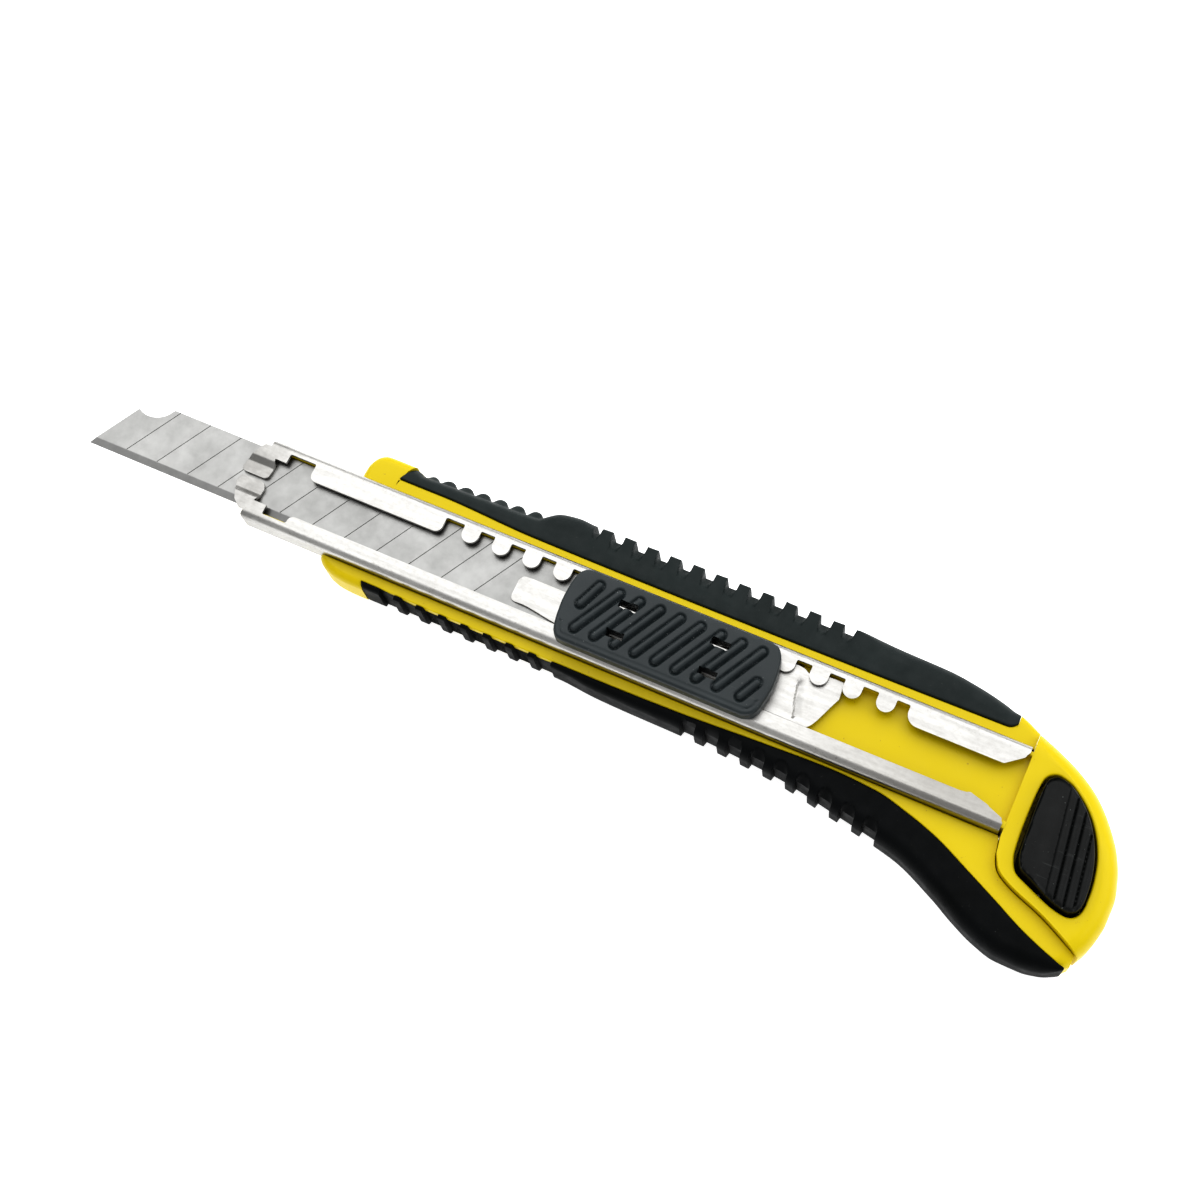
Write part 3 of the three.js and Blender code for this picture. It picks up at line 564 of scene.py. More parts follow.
def handle_shell():
    front = shell_low.x
    x = stations(
        round_end(front, NOSE_REACH, 22),
        spans((front + NOSE_REACH, LOWER_START + 2, 0.35), (-37, 47, 0.8), (47, SHELL_END, 0.25)),
        [UPPER_START, UPPER_START + 0.02, LOWER_START, LOWER_START + 0.02],
        spans((SHELL_END, SHELL_END + 2, 0.2), (SHELL_END + 2, WEDGE_END, 0.6)),
        [BEHIND_GRIP, BEHIND_GRIP + 0.02, SHELL_END + 0.02, *WINDOW, TONGUE_END],
    )
    low, high = shell_edges(x)
    bed = [-BED_HALF + 0.01, -TONGUE_HALF, -4, 0, TONGUE_HALF, BED_HALF - 0.01]
    columns = []
    for xi, lo, hi in zip(x, low, high):
        low_round = NOSE_ROUND if xi < LOWER_START + 0.01 else 0.2
        high_round = NOSE_ROUND if xi < UPPER_START + 0.01 or xi > UPPER_END else 0.2
        inner = -BED_HALF if xi <= SHELL_END else max(float(seam(xi)) - SEAM_PLAY, lo + 0.05)
        finger_strip = shell_strip(lo, inner, low_round, 0.4)
        thumb_strip = shell_strip(BED_HALF, hi, 0.4, high_round)
        columns.append(np.concatenate([finger_strip, bed, thumb_strip]))
    y = np.array(columns)
    xx = widened(x, y)
    kind = np.repeat([0, 1, 2], [STRIP_POINTS, len(bed), STRIP_POINTS])
    on_finger_side, on_bed, on_thumb_side = (kind == k for k in range(3))

    nose = distance_to(xx, y, dense(NOSE_UPPER[::-1] + NOSE_LOWER))
    shoulder = distance_to(xx, y, THUMB_SIDE[-3:] + BUTT[:-3:-1])
    tail = distance_to(xx, y, dense(FINGER_SIDE[-7:]))
    tail = np.where((xx > WEDGE_START) & on_finger_side, tail, TAIL_ROUND)
    low_edge, high_edge = low[:, None], high[:, None]
    inner_edge = np.where(xx <= SHELL_END, -BED_HALF, seam(xx) - SEAM_PLAY)
    edge = np.minimum(y - BED_HALF, high_edge - y)
    edge = np.where(on_finger_side, np.minimum(y - low_edge, inner_edge - y), edge)
    top = shell_high.z - np.maximum.reduce([
        np.where(xx < NOSE_BEHIND, droop(nose, NOSE_ROUND), 0),
        droop(np.maximum(edge, 0), np.where(xx > 49, 0.12, 0.18)),
        np.where((xx > 48.5) & on_thumb_side, droop(shoulder, SHOULDER_ROUND), 0),
        droop(tail, TAIL_ROUND),
    ])
    top = np.where(on_bed, np.where(xx <= SHELL_END, RAIL_BED, TONGUE_TOP), top)
    bottom = np.where(xx < NOSE_BEHIND, droop(nose, 1.0), droop(tail, 1.4))
    rim = np.minimum(np.abs(y - low_edge), np.abs(high_edge - y))
    bottom = np.maximum(bottom, np.where(on_bed, 0, droop(rim, 0.15)))

    lean_low = 1 - smooth((np.abs(xx - LOWER_START) - 0.3) / 3.5)
    lean_high = 1 - smooth((np.abs(xx - UPPER_START) - 0.3) / 3.5)
    xs = xx + LOWER_LEAN * np.maximum(0, -7.5 - y) * lean_low * (xx <= LOWER_START + 0.001)
    xs = xs + UPPER_LEAN * np.maximum(0, y - 8) * lean_high * (xx <= UPPER_START + 0.001)

    middle = (x[:-1] + x[1:]) / 2
    behind = middle > SHELL_END
    cell = np.arange(y.shape[1] - 1)
    wedge = cell < STRIP_POINTS - 1
    tongue = (cell > STRIP_POINTS) & (cell < STRIP_POINTS + 4)
    in_window = (middle > WINDOW[0]) & (middle < WINDOW[1])
    mask = np.ones((len(middle), len(cell)), bool)
    mask[behind] = False
    mask[np.ix_(behind, wedge)] = True
    mask[np.ix_(behind & (middle < TONGUE_END), tongue)] = True
    mask[np.ix_(in_window, cell == STRIP_POINTS + 2)] = False
    shape = grid_faces(xs, y, top, bottom, mask)
    return finish_mesh("handle_body", shape, YELLOW, "handle", ["handle_shell"])


# ---- Soft grips ----
SCOOP_DROP = 1.35  # how far down the side the hollow between two ribs runs out
KNOB_TOP, KNOB_ROUND = 4.7, 0.7
THUMB_ROUND, FINGER_ROUND, LOW_ROUND = 2.3, 2.1, 1.5
RIB_ROUND, RIB_SET_IN = 0.35, 0.42  # the ribbed stretch of the thumb side has a crisper edge


def grip_ring(x, inner, outer, lean, radius, inset, scoop=(0.0, 0.0), knob=(0.0, 0.0)):
    """One closed section of a grip, with distances measured outwards from its inner edge.

    scoop is how deep and how far in the hollow between two ribs reaches here. knob is how far the top's
    edge is set in, and how much of that a knob on the side fills here.
    """
    side = 1 if outer > inner else -1
    width = abs(outer - inner)
    top, bottom = grip_top - inset, inset
    radius = min(radius, 0.85 * width)
    low_radius = min(LOW_ROUND, 0.7 * width)
    small = min(0.22, 0.2 * width)
    flat = width - radius
    wall_top, wall_low = top - radius, bottom + LOW_ROUND
    points = [(0, bottom + 0.1), (0, 2.0), (0, 4.0), (0, top - small)]
    for a in (0.5, 1.0, math.pi / 2):
        points.append((small * (1 - math.cos(a)), top - small + small * math.sin(a)))
    points += [(small + (flat - small) * t, top) for t in (0.2, 0.35, 0.5, 0.62, 0.74, 0.86)]
    points += [
        (flat + radius * math.cos(a), top - radius + radius * math.sin(a))
        for a in np.linspace(math.pi / 2, 0, 13)
    ]
    points += [(width, wall_top + (wall_low - wall_top) * t) for t in (0.2, 0.4, 0.6, 0.8)]
    points += [
        (width - low_radius + low_radius * math.cos(a), wall_low - LOW_ROUND * math.sin(a))
        for a in np.linspace(0, math.pi / 2, 8)
    ]
    points += [((width - low_radius) * t, bottom) for t in (0.66, 0.33)]
    u, z = np.array(points).T
    depth, reach = scoop
    if depth > 0:
        wall = width - depth
        start = min(max(width - reach, 0.7), wall - 0.15)
        u = np.minimum(u, wall)
        fall = np.clip((u - start) / (wall - start), 0, 1)
        z = np.where(z > 3, np.minimum(z, top - SCOOP_DROP * fall), z)
    set_in, proud = knob
    if set_in > 0:
        rise = np.sqrt(np.clip((KNOB_TOP - z) / KNOB_ROUND, 0, 1)) * smooth(z / 0.8)
        u = u - set_in * (1 - proud * rise) * (u / width)
    return np.stack([x + lean * u, inner + side * u, z], -1)


def valley(x, centres, half):
    """How deep (0 to 1) and how far in (0 to 1) the hollow is at x, for a row of hollows."""
    d = np.min(np.abs(np.array(centres) - x))
    depth = float(np.clip((half + 0.10 - d) / 0.10, 0, 1))
    return depth, math.sqrt(max(0.0, 1 - (d / half) ** 2)) if d < half else 0.0


def scoop_at(x, rows):
    """How deep and how far in a grip is hollowed at x by its rows of hollows."""
    scoop = (0.0, 0.0)
    for centres, half, deep, far in rows:
        depth, reach = valley(x, centres, half)
        scoop = max(scoop, (deep * depth, deep * depth + far * reach))
    return scoop


def around(rows):
    """Stations that follow the steep sides and the round end of each hollow in the rows."""
    steps = np.array([0, 0.25, 0.5, 0.7, 0.84, 0.94, 1.0])
    steps = np.concatenate([-steps[::-1], steps[1:]])
    marks = [np.concatenate([[-half - 0.10], steps * half, [half + 0.10]]) for _, half, _, _ in rows]
    return np.concatenate([c + m for m, row in zip(marks, rows) for c in row[0]])


def end_inset(x, start, end, radius=0.25):
    return float(droop(min(x - start, end - x), radius))


def in_order(*groups):
    """Places in order, without any that lie too close behind another."""
    marks = stations(*groups)
    return marks[np.concatenate([[True], np.diff(marks) > 0.012])]


UPPER_HOLLOWS = [-9.6 + 3.37 * k for k in range(10)]
LOWER_HOLLOWS = [9.73 + 3.34 * k for k in range(9)]
FRONT_HOLLOWS = [-35.4 + 3.4 * k for k in range(8)]
# Rows of hollows: their centres, half width, depth, and how much further in their middle reaches.
THUMB_HOLLOWS = [(UPPER_HOLLOWS, 0.8, 0.85, 1.9), ([-12.68], 0.5, 0.95, 1.3), ([24.05], 0.75, 0.75, 1.6)]
FINGER_HOLLOWS = [(FRONT_HOLLOWS, 1.1, 0.7, 1.0), (LOWER_HOLLOWS, 0.97, 1.0, 1.2)]
KNOBS = [-37.7 + 2.63 * k for k in range(7)]
KNOB_REACH = 1.31
# The grip's edge is set in ahead of the ribs: places along it, and how far in.
KNOB_SET_IN = ((-41.5, -39.2, -22), (0.1, 0.75, 1.05))


def upper_grip():
    start, end = UPPER_START + SPLIT_PLAY, UPPER_END
    x = in_order(
        spans((start, start + 0.25, 0.05), (start, -39.4, 0.4), (-20.5, -13.5, 0.35)),
        spans((25.2, 46, 0.6), (46, end, 0.15), (end - 0.25, end, 0.05)),
        np.concatenate([k + np.linspace(-KNOB_REACH, KNOB_REACH, 19) for k in KNOBS]),
        around(THUMB_HOLLOWS),
    )
    rings = []
    for xi in x:
        set_in = np.interp(xi, *KNOB_SET_IN) * (1 - float(smooth((xi + 21.4) / 2.6)))
        d = np.min(np.abs(np.array(KNOBS) - xi))
        proud = math.sqrt(max(0.0, 1 - d * d)) * (0.8 if xi < -36.4 else 1.0)
        lean = UPPER_LEAN * float(1 - smooth((xi - start) / 5))
        among_ribs = float(smooth((xi + 14) / 3) * (1 - smooth((xi - 24.5) / 5)))
        inner = float(upper_split(xi) + end_arc(xi))
        outer = max(float(thumb_side(xi)), inner + 0.4) - RIB_SET_IN * among_ribs
        radius = THUMB_ROUND + (RIB_ROUND - THUMB_ROUND) * among_ribs
        inset, scoop = end_inset(xi, start, end), scoop_at(xi, THUMB_HOLLOWS)
        rings.append(grip_ring(xi, inner, outer, lean, radius, inset, scoop, (set_in, proud)))
    shape = loft_faces(rings)
    return finish_mesh("thumb_grip", shape, THUMB_RUBBER, "handle", ["upper_grip"], 35)


def lower_grip():
    start, end = LOWER_START + SPLIT_PLAY, 64.8
    x = in_order(
        spans((start, start + 0.25, 0.05), (start, -37, 0.3), (-10.3, 8.5, 0.5)),
        spans((37.8, 60, 0.6), (60, end, 0.2), (end - 0.25, end, 0.05)),
        around(FINGER_HOLLOWS),
    )
    rings = []
    for xi in x:
        lean = LOWER_LEAN * float(1 - smooth((xi - start) / 5))
        inner = float(lower_split(xi))
        outer = min(float(finger_side(xi)), inner - 0.2)
        inset, scoop = end_inset(xi, start, end), scoop_at(xi, FINGER_HOLLOWS)
        rings.append(grip_ring(xi, inner, outer, lean, FINGER_ROUND, inset, scoop))
    shape = loft_faces(rings)
    return finish_mesh("finger_grip", shape, FINGER_RUBBER_PAINTED_SHADE, "handle", ["lower_grip"], 35)


# ---- Blade rail: a folded steel channel ----
SHEET = 0.5
BEND, FOOT_BEND = 1.1, 0.7
LOCK_PITCH, LOCK_FIRST, LOCK_FINGERS = 4.63, -27.95, 14
LOCK_HALF, LOCK_TIP, LOCK_ROOT = 1.25, 2.6, 4.8
rail_half = rail_high.y


def arc(cx, cy, radius, start, end, steps):
    angles = np.radians(np.linspace(start, end, steps))
    return [(cx + radius * math.cos(a), cy + radius * math.sin(a)) for a in angles]


def lock_lip():
    """Outline of the thumb-side lip from its nose to its rear end, along its free edge."""
    p = [(-56.55, 3.35), (-56.5, 4.65), (-56.35, 4.8), (-52.6, 4.8), (-52.45, 4.65), (-52.45, 3.3)]
    p += arc(-51.5, 3.3, 0.95, 180, 270, 7)
    p += arc(-33.0, 3.35, 1.0, 270, 360, 8)
    p += [(-32.0, LOCK_ROOT - 0.15), (-31.85, LOCK_ROOT)]
    for k in range(LOCK_FINGERS):
        x = LOCK_FIRST + k * LOCK_PITCH
        p += [(x - LOCK_HALF - 0.12, LOCK_ROOT), (x - LOCK_HALF, LOCK_ROOT - 0.12)]
        p += arc(x, LOCK_TIP + LOCK_HALF, LOCK_HALF, 180, 360, 13)
        p += [(x + LOCK_HALF, LOCK_ROOT - 0.12), (x + LOCK_HALF + 0.12, LOCK_ROOT)]
    p += [(35.15, LOCK_ROOT), (35.3, LOCK_ROOT - 0.15)]
    p += arc(37.0, 4.05, 1.7, 180, 270, 9)
    p += arc(48.6, 2.95, 0.6, 270, 315, 4)
    p += arc(50.6, 4.4, 0.5, 310, 360, 4)
    return p


def plain_lip():
    """The finger-side lip's free edge, from its nose to its rear end."""
    p = [(-56.15, -3.3), (-56.15, -4.5), (-56.0, -4.65), (-52.6, -4.65), (-52.4, -4.45)]
    p += arc(-51.5, -4.25, 0.9, 180, 90, 6)
    p += [(0, -3.3), (44.9, -3.1)]
    p += arc(46.4, -3.55, 0.75, 130, 60, 5)
    p += arc(48.6, -4.2, 0.8, 80, 45, 4)
    p += arc(50.7, -4.7, 0.5, 45, 0, 4)
    return p


FINGER_LEVEL, FINGER_DOWN = 3.0, 1.95  # the pressed fingers leave the lip and reach the blade here
TIP_ROUND = 0.62
UPPER_FINGER = {
    "left": [(3.35, -61.45), (1.96, -62.13), (0.96, -62.33), (0.3, -62.3)],
    "right": [(3.35, -58.25), (2.5, -58.03), (1.7, -58.03), (0.3, -58.2)],
    "nose": [(-56.55, 3.35)], "front": [(-59.7, 4.95), (-60.6, 4.85), (-61.15, 4.1)],
    "wall": [-59.75, -59.45], "tip": 0.3,
}
LOWER_FINGER = {
    "left": [(3.3, -61.2), (1.5, -62.17), (0.9, -62.1), (0.25, -61.9)],
    "right": [(3.3, -58.15), (2.9, -57.99), (1.27, -57.8), (0.25, -58.2)],
    "nose": [(-56.15, -3.3)], "front": [(-58.95, -4.95), (-59.8, -4.95), (-60.85, -4.1)],
    "wall": [-59.1, -58.8], "tip": 0.22,
}


def edge_at(chain, y):
    """Where an edge of a pressed finger lies at a distance from the rail's middle; chain runs inwards."""
    return float(np.interp(-y, [-place for place, _ in chain], [x for _, x in chain]))


def nose_finger(mesh_points, faces, side, finger):
    """A pressed finger: from the lip's level it dips to lie on the blade, with a round tip."""
    root_y = finger["left"][0][0]
    reach = root_y - finger["tip"]
    high, low = rail_high.z, blade_high.z + 0.05 + SHEET
    near_tip = 0.85 + 0.15 * np.sin(np.linspace(0.15, 1, 7) * math.pi / 2)
    rows = []
    for s in np.concatenate([np.linspace(0, 0.85, 20), near_tip]):
        y = root_y - reach * s
        z = low + (high - low) * float(smooth((y - FINGER_DOWN) / (FINGER_LEVEL - FINGER_DOWN)))
        left, right = (edge_at(finger[edge], y) for edge in ("left", "right"))
        past = max(0.0, 1 - (y - finger["tip"]) / TIP_ROUND)
        tight = TIP_ROUND * (1 - math.sqrt(max(0.0, 1 - past**2)))
        width = right - left - 2 * tight
        rows.append([(left + tight + width * t, side * y, z) for t in np.linspace(0, 1, 9)])
    base = len(mesh_points)
    for row in rows:
        mesh_points.extend(row)
    for i in range(len(rows) - 1):
        for j in range(8):
            a = base + i * 9 + j
            quad = (a, a + 1, a + 10, a + 9)
            faces.append(quad if side < 0 else quad[::-1])
    return rows[0]


def rail_half_skin(points, faces, side, lip, finger):
    """The lip, the pressed finger and the bent side wall on one side of the rail."""
    row = nose_finger(points, faces, side, finger)
    top, rear = rail_high.z, rail_high.x
    outline = finger["nose"] + lip[1:] + [(rear, side * (rail_half - BEND))] + finger["front"]
    start = len(points)
    points.extend(row + [(x, y, top) for x, y in outline])
    loop = tuple(range(start, len(points)))
    faces.append(loop if side < 0 else loop[::-1])
    chain = arc(rail_half - BEND, top - BEND, BEND, 90, 0, 9)
    chain += arc(rail_half - FOOT_BEND, rail_low.z + FOOT_BEND, FOOT_BEND, 0, -90, 6)
    base = len(points)
    for n, (y, z) in enumerate(chain):
        ahead = float(np.interp(n, [0, 4, 8], [finger["front"][0][0], *finger["wall"]]))
        points.extend([(ahead, side * y, z), (rear, side * y, z)])
    for a in range(base, len(points) - 2, 2):
        quad = (a, a + 1, a + 3, a + 2)
        faces.append(quad if side > 0 else quad[::-1])


def blade_rail():
    """The rail's outer skin, thickened to sheet and softened at its edges."""
    points, faces = [], []
    rail_half_skin(points, faces, 1, lock_lip(), UPPER_FINGER)
    rail_half_skin(points, faces, -1, plain_lip(), LOWER_FINGER)
    half, low, rear = rail_half - FOOT_BEND, rail_low.z, rail_high.x
    base = len(points)
    lower_end, upper_end = LOWER_FINGER["wall"][1], UPPER_FINGER["wall"][1]
    points.extend([(lower_end, -half, low), (rear, -half, low), (rear, half, low), (upper_end, half, low)])
    faces.append((base, base + 3, base + 2, base + 1))
    mesh = clean_mesh("rail_skin", points, faces, 0.004)
    lips = [p for p in mesh.polygons if p.center.z > (rail_high.z - 1) * MM]
    if sum(p.normal.z * p.area for p in lips) < 0:
        mesh.flip_normals()
    skin = linked("rail_skin", mesh)
    solid = skin.modifiers.new("sheet", "SOLIDIFY")
    solid.thickness = SHEET * MM
    solid.offset = -1
    solid.use_even_offset = True
    bevel = skin.modifiers.new("edges", "BEVEL")
    bevel.width = 0.09 * MM
    bevel.segments = 2
    bevel.limit_method = "ANGLE"
    bevel.angle_limit = math.radians(55)
    result = applied(skin)
    result.name = "channel"
    bpy.data.objects.remove(skin)
    return finish_object("channel", result, RAIL, "handle", ["blade_rail"])


# ---- Blade ----
SCORE_PITCH, SCORE_LINES, SCORE_DEPTH = 5.0, 12, 0.07
GRIND = 1.05
SLANT = 1 / math.tan(math.radians(60))
EDGE_HALF = 0.012
NOTCH = (-79.0, 5.9, 3.4)


def snap_off_blade():
    tip, tail = blade_low.x, blade_high.x
    edge, spine = blade_low.y, blade_high.y
    scores = tip + SCORE_PITCH * (1 + np.arange(SCORE_LINES))
    marks = np.concatenate([scores + d for d in (-0.07, -0.035, 0, 0.035, 0.07)])
    x = stations(spans((tip, tip + 5.4, 0.15), (tip, tail, 1.0)), marks)
    flat_from = GRIND + 0.04
    rows = np.concatenate([[0, 0.03, 0.5, GRIND - 0.04, GRIND, flat_from], np.linspace(1.5, 9, 16)])
    cx, cy, radius = NOTCH
    heights = []
    for xi in x:
        y = np.linspace(edge, spine, 400)
        inside = np.hypot(xi + SLANT * (y - edge) - cx, y - cy) < radius
        heights.append((y[inside][0] if inside.any() else spine) - edge)
    height = np.array(heights)[:, None]
    share = (rows / (spine - edge) * 9 - flat_from) / (9 - flat_from)
    y = edge + np.where(rows <= flat_from, rows, flat_from + share * (height - flat_from))
    lean = 1 - smooth((x - (tail - 14)) / 9)
    xx = x[:, None] + SLANT * (y - edge) * lean[:, None]
    ground = np.clip((y - edge) / GRIND, 0, 1)
    near = np.min(np.abs(x[:, None] - scores[None, :]), 1)[:, None]
    groove = SCORE_DEPTH * np.clip(1 - near / 0.065, 0, 1) * (ground >= 1)
    middle = (blade_high.z + blade_low.z) / 2
    half = (blade_high.z - middle - EDGE_HALF) * ground + EDGE_HALF
    shape = grid_faces(xx, y, middle + half - groove, middle - half)
    return finish_mesh("blade", shape, BLADE, "slider", ["snap_off_blade"], 8)


# ---- Carrier ----
CARRIER_SHEET = 0.45
CREASE_PLACE, CREASE_DEPTH = 21.9, 0.36
TAB_PLACES, TAB_SIDE = (-3.35, 9.9), 2.15


def carrier_tabs(verts, faces, level):
    """The four tabs that stand up through the pad's holes, taller on the thumb side."""
    for tab_x in TAB_PLACES:
        for side, below in ((-1, 1.9), (1, 0.3)):
            inner, outer = side * (TAB_SIDE - 0.5), side * (TAB_SIDE - 0.25)
            low_corner = (tab_x - 1.15, min(inner, outer), level)
            high_corner = (tab_x + 1.15, max(inner, outer), carrier_high.z - below)
            more, more_faces = box_faces(low_corner, high_corner)
            base = len(verts)
            verts += more
            faces += [tuple(base + v for v in f) for f in more_faces]


def blade_carrier():
    bottom = carrier_low.z
    top = bottom + CARRIER_SHEET
    high = curve([
        (-19.3, 0.9), (-19.0, 1.45), (-18.4, 1.6), (-11.5, 1.6), (-10.5, 4.1), (19.9, 4.4), (20.8, 4.3),
        (21.7, 3.9), (22.6, 4.4), (26.2, 4.5), (26.55, 2.1),
    ])
    low = curve([
        (-19.3, -1.5), (-19.1, -2.1), (-18.4, -2.3), (-17.6, -2.3), (-11, -3.05), (23.9, -3.05),
        (26.55, 2.05),
    ])
    x = spans((-19.3, -18.4, 0.08), (-18.4, -10, 0.25), (-10, 19, 1.5), (19, 26.5, 0.12), (26.2, 26.5, 0.05))
    xx, y = between(x, low, high, eased(0, 1, 0.06, 0.06, 12, 4))
    edge = np.minimum(y - low(xx), high(xx) - y)
    tongue_drop = 0.42 * np.clip((-17.5 - xx) / 1.7, 0, 1)
    across = xx + 0.28 * y - CREASE_PLACE
    crease = np.clip((0.6 - across) / 1.2, 0, 1) * smooth((across + 0.75) / 0.15)
    crease = crease * smooth((2.5 - y) / 0.4) * smooth((y + 2.6) / 0.3)
    zt = top - tongue_drop - CREASE_DEPTH * crease - droop(np.maximum(edge, 0), 0.08)
    verts, faces = grid_faces(xx, y, zt, np.minimum(bottom, zt - 0.06))
    verts = list(map(tuple, verts))
    carrier_tabs(verts, faces, top - 0.1)
    return finish_mesh("carrier", (verts, faces), RAIL, "slider", ["blade_carrier"])


# ---- Slider pad ----
SLOT_HALF_X, SLOT_HALF_Y = 1.3, 0.53
PAD_FRONT = -11.9
RIB_PITCH, RIB_HEIGHT, RIB_HALF = 2.92, 0.44, 0.5


def slider_pad():
    base, top = pad_low.z, pad_high.z - RIB_HEIGHT - 0.10
    front, rear = PAD_FRONT, pad_high.x
    high = curve([
        (front, 0.5), (front + 0.12, 2.6), (front + 0.7, 4.3), (front + 1.7, 5.0), (front + 2.6, 5.1),
        (rear - 2.8, 5.1), (rear - 1.6, 4.9), (rear - 0.7, 3.9), (rear - 0.15, 1.8), (rear, 0),
    ])
    low = curve([
        (front, -0.5), (front + 0.25, -2.8), (front + 0.75, -4.6), (front + 1.5, -5.4), (front + 2.5, -5.52),
        (rear - 2.6, -5.52), (rear - 1.5, -5.2), (rear - 0.6, -4.2), (rear - 0.15, -2), (rear, -0.5),
    ])
    slots = [(cx - SLOT_HALF_X, cx + SLOT_HALF_X) for cx in TAB_PLACES]
    x = stations(
        round_end(front, 1.6, 14), round_end(rear, -1.6, 14), spans((front + 1.6, rear - 1.6, 0.14)),
        np.ravel(slots), digits=3,
    )
    slot_sides = [s * TAB_SIDE + d for s in (-1, 1) for d in (-SLOT_HALF_Y, SLOT_HALF_Y)]
    inner = stations(spans((-4.6, 4.3, 0.14)), slot_sides, digits=3)
    edge = round_end(0, 0.8, 7)[:-1]
    y = []
    for lo, hi in zip(low(x), high(x)):
        middle = np.where(inner < 0, inner * min(1, lo / -5.5), inner * min(1, hi / 5.1))
        low_strip = lo + edge * min(1, (middle[0] - lo) / 0.9)
        high_strip = hi - edge * min(1, (hi - middle[-1]) / 0.9)
        y.append(np.concatenate([low_strip, middle, high_strip[::-1]]))
    y = np.array(y)
    xx = widened(x, y)
    near = distance_to(xx, y, closed_outline(x, low, high))
    zt = top - droop(near, 0.5) + 0.10 * (1 - (y / 5.5) ** 2)
    ribs = [((-8.73 + RIB_PITCH * k, -3.35), (-5.1 + RIB_PITCH * k, 3.3)) for k in range(8)]
    ribs += [((-9.35, 0.0), (-8.0, 3.3)), ((15.0, -3.35), (16.3, -0.8))]
    for rib in ribs:
        d = distance_to(xx, y, rib)
        zt = zt + RIB_HEIGHT * np.sqrt(np.clip(1 - (d / RIB_HALF) ** 2, 0, 1))
        zt = zt - 0.26 * np.exp(-((d - RIB_HALF - 0.12) / 0.14) ** 2)
    zt = zt - 0.14 * np.exp(-((near - 0.78) / 0.14) ** 2) * (y < -3)
    mx, my = (x[:-1] + x[1:]) / 2, (y[:, :-1] + y[:, 1:])[:-1] / 2
    mask = np.ones(my.shape, bool)
    for lo, hi in slots:
        in_slot = (mx[:, None] > lo) & (mx[:, None] < hi) & (np.abs(np.abs(my) - TAB_SIDE) < SLOT_HALF_Y)
        mask &= ~in_slot
    shape = grid_faces(xx, y, zt, np.full_like(zt, base), mask)
    return finish_mesh("thumb_pad", shape, PAD_BLACK, "slider", ["slider_pad"], 50)


# ---- Magazine tray ----
BLOCK_START, BLOCK_TOP = 20.6, 6.12  # behind the blades the tray is solid up to here


def magazine_tray():
    low_wall, high_wall = -4.42, 4.82  # inner faces of the side walls
    front, rear = tray_low.x + 0.5, cap_low.x + 0.15
    under_blade = blade_low.z - 0.06
    x = stations(
        spans((front, front + 2, 0.25), (front + 2, BLOCK_START - 0.3, 3), (BLOCK_START, rear, 1.0)),
        spans((BLOCK_START - 0.3, BLOCK_START + 0.3, 0.1)),
        [front + 0.3, front + 0.31, BLOCK_START - 0.01, BLOCK_START, rear - 0.1],
    )
    half = -tray_low.y
    y = np.array([
        -half, -half + 0.08, -half + 0.16, low_wall - 0.16, low_wall - 0.01, low_wall, -4.2, -2, 0, 2, 4.6,
        high_wall, high_wall + 0.01, high_wall + 0.1, half - 0.12, half - 0.06, half,
    ])
    xx = np.repeat(x[:, None], len(y), 1)
    corner = np.clip(front + 2 - xx, 0, 2) / 2
    yy = y * (1 - np.where(y < 0, 0.34, 0.20) * corner**1.5)
    wall = (y < low_wall - 0.005) | (y > high_wall + 0.005)
    inside = np.where(xx >= BLOCK_START, BLOCK_TOP, tray_low.z + 0.4)
    inside = np.where(xx < front + 0.305, under_blade, inside)
    edge = np.minimum(half - np.abs(y), np.abs(y - np.where(y > 0, high_wall, low_wall)))
    lip = tray_high.z - droop(edge, 0.12) - (tray_high.z - under_blade) * smooth((corner - 0.15) / 0.25)
    top = np.where(wall, lip, inside)
    shape = grid_faces(xx, yy, top, np.full_like(top, tray_low.z))
    return finish_mesh("blade_tray", shape, YELLOW, "cap_and_tray", ["magazine_tray"])


# ---- End cap and its button ----
BUTTON_HIGH = [(54.4, 0.4), (54.5, 2.0), (54.95, 2.85), (55.9, 3.3), (57.4, 2.95), (59.5, 1.5), (61.3, -0.5),
               (62.7, -3.0), (63.6, -5.6), (64.05, -8.4), (64.1, -9.8)]
BUTTON_LOW = [(54.4, -1.0), (54.65, -7.4), (55.0, -8.7), (55.6, -9.6), (56.6, -10.1), (61.3, -12.1),
              (62.6, -12.3), (63.5, -11.9), (64, -11), (64.1, -10.2)]
BARS_START, BAR_PITCH = 58.45, 1.3  # the button's round bars, behind its plain face
CAP_MIDDLE = (59.4, -4.6)  # the cap is built from sections round this place
POCKET_FLOOR, POCKET_PLAY = 2.0, 0.42


def ray_length(angle, loop):
    """Distance from the cap's middle to the far side of a closed polygon, along an angle."""
    dx, dy = math.cos(angle), math.sin(angle)
    best = None
    for (ax, ay), (bx, by) in zip(loop, loop[1:] + loop[:1]):
        ex, ey = bx - ax, by - ay
        cross = dx * ey - dy * ex
        if abs(cross) < 1e-9:
            continue
        t = ((ax - CAP_MIDDLE[0]) * ey - (ay - CAP_MIDDLE[1]) * ex) / cross
        s = ((ax - CAP_MIDDLE[0]) * dy - (ay - CAP_MIDDLE[1]) * dx) / cross
        if t > 0 and -1e-6 <= s <= 1 + 1e-6 and (best is None or t > best):
            best = t
    return best


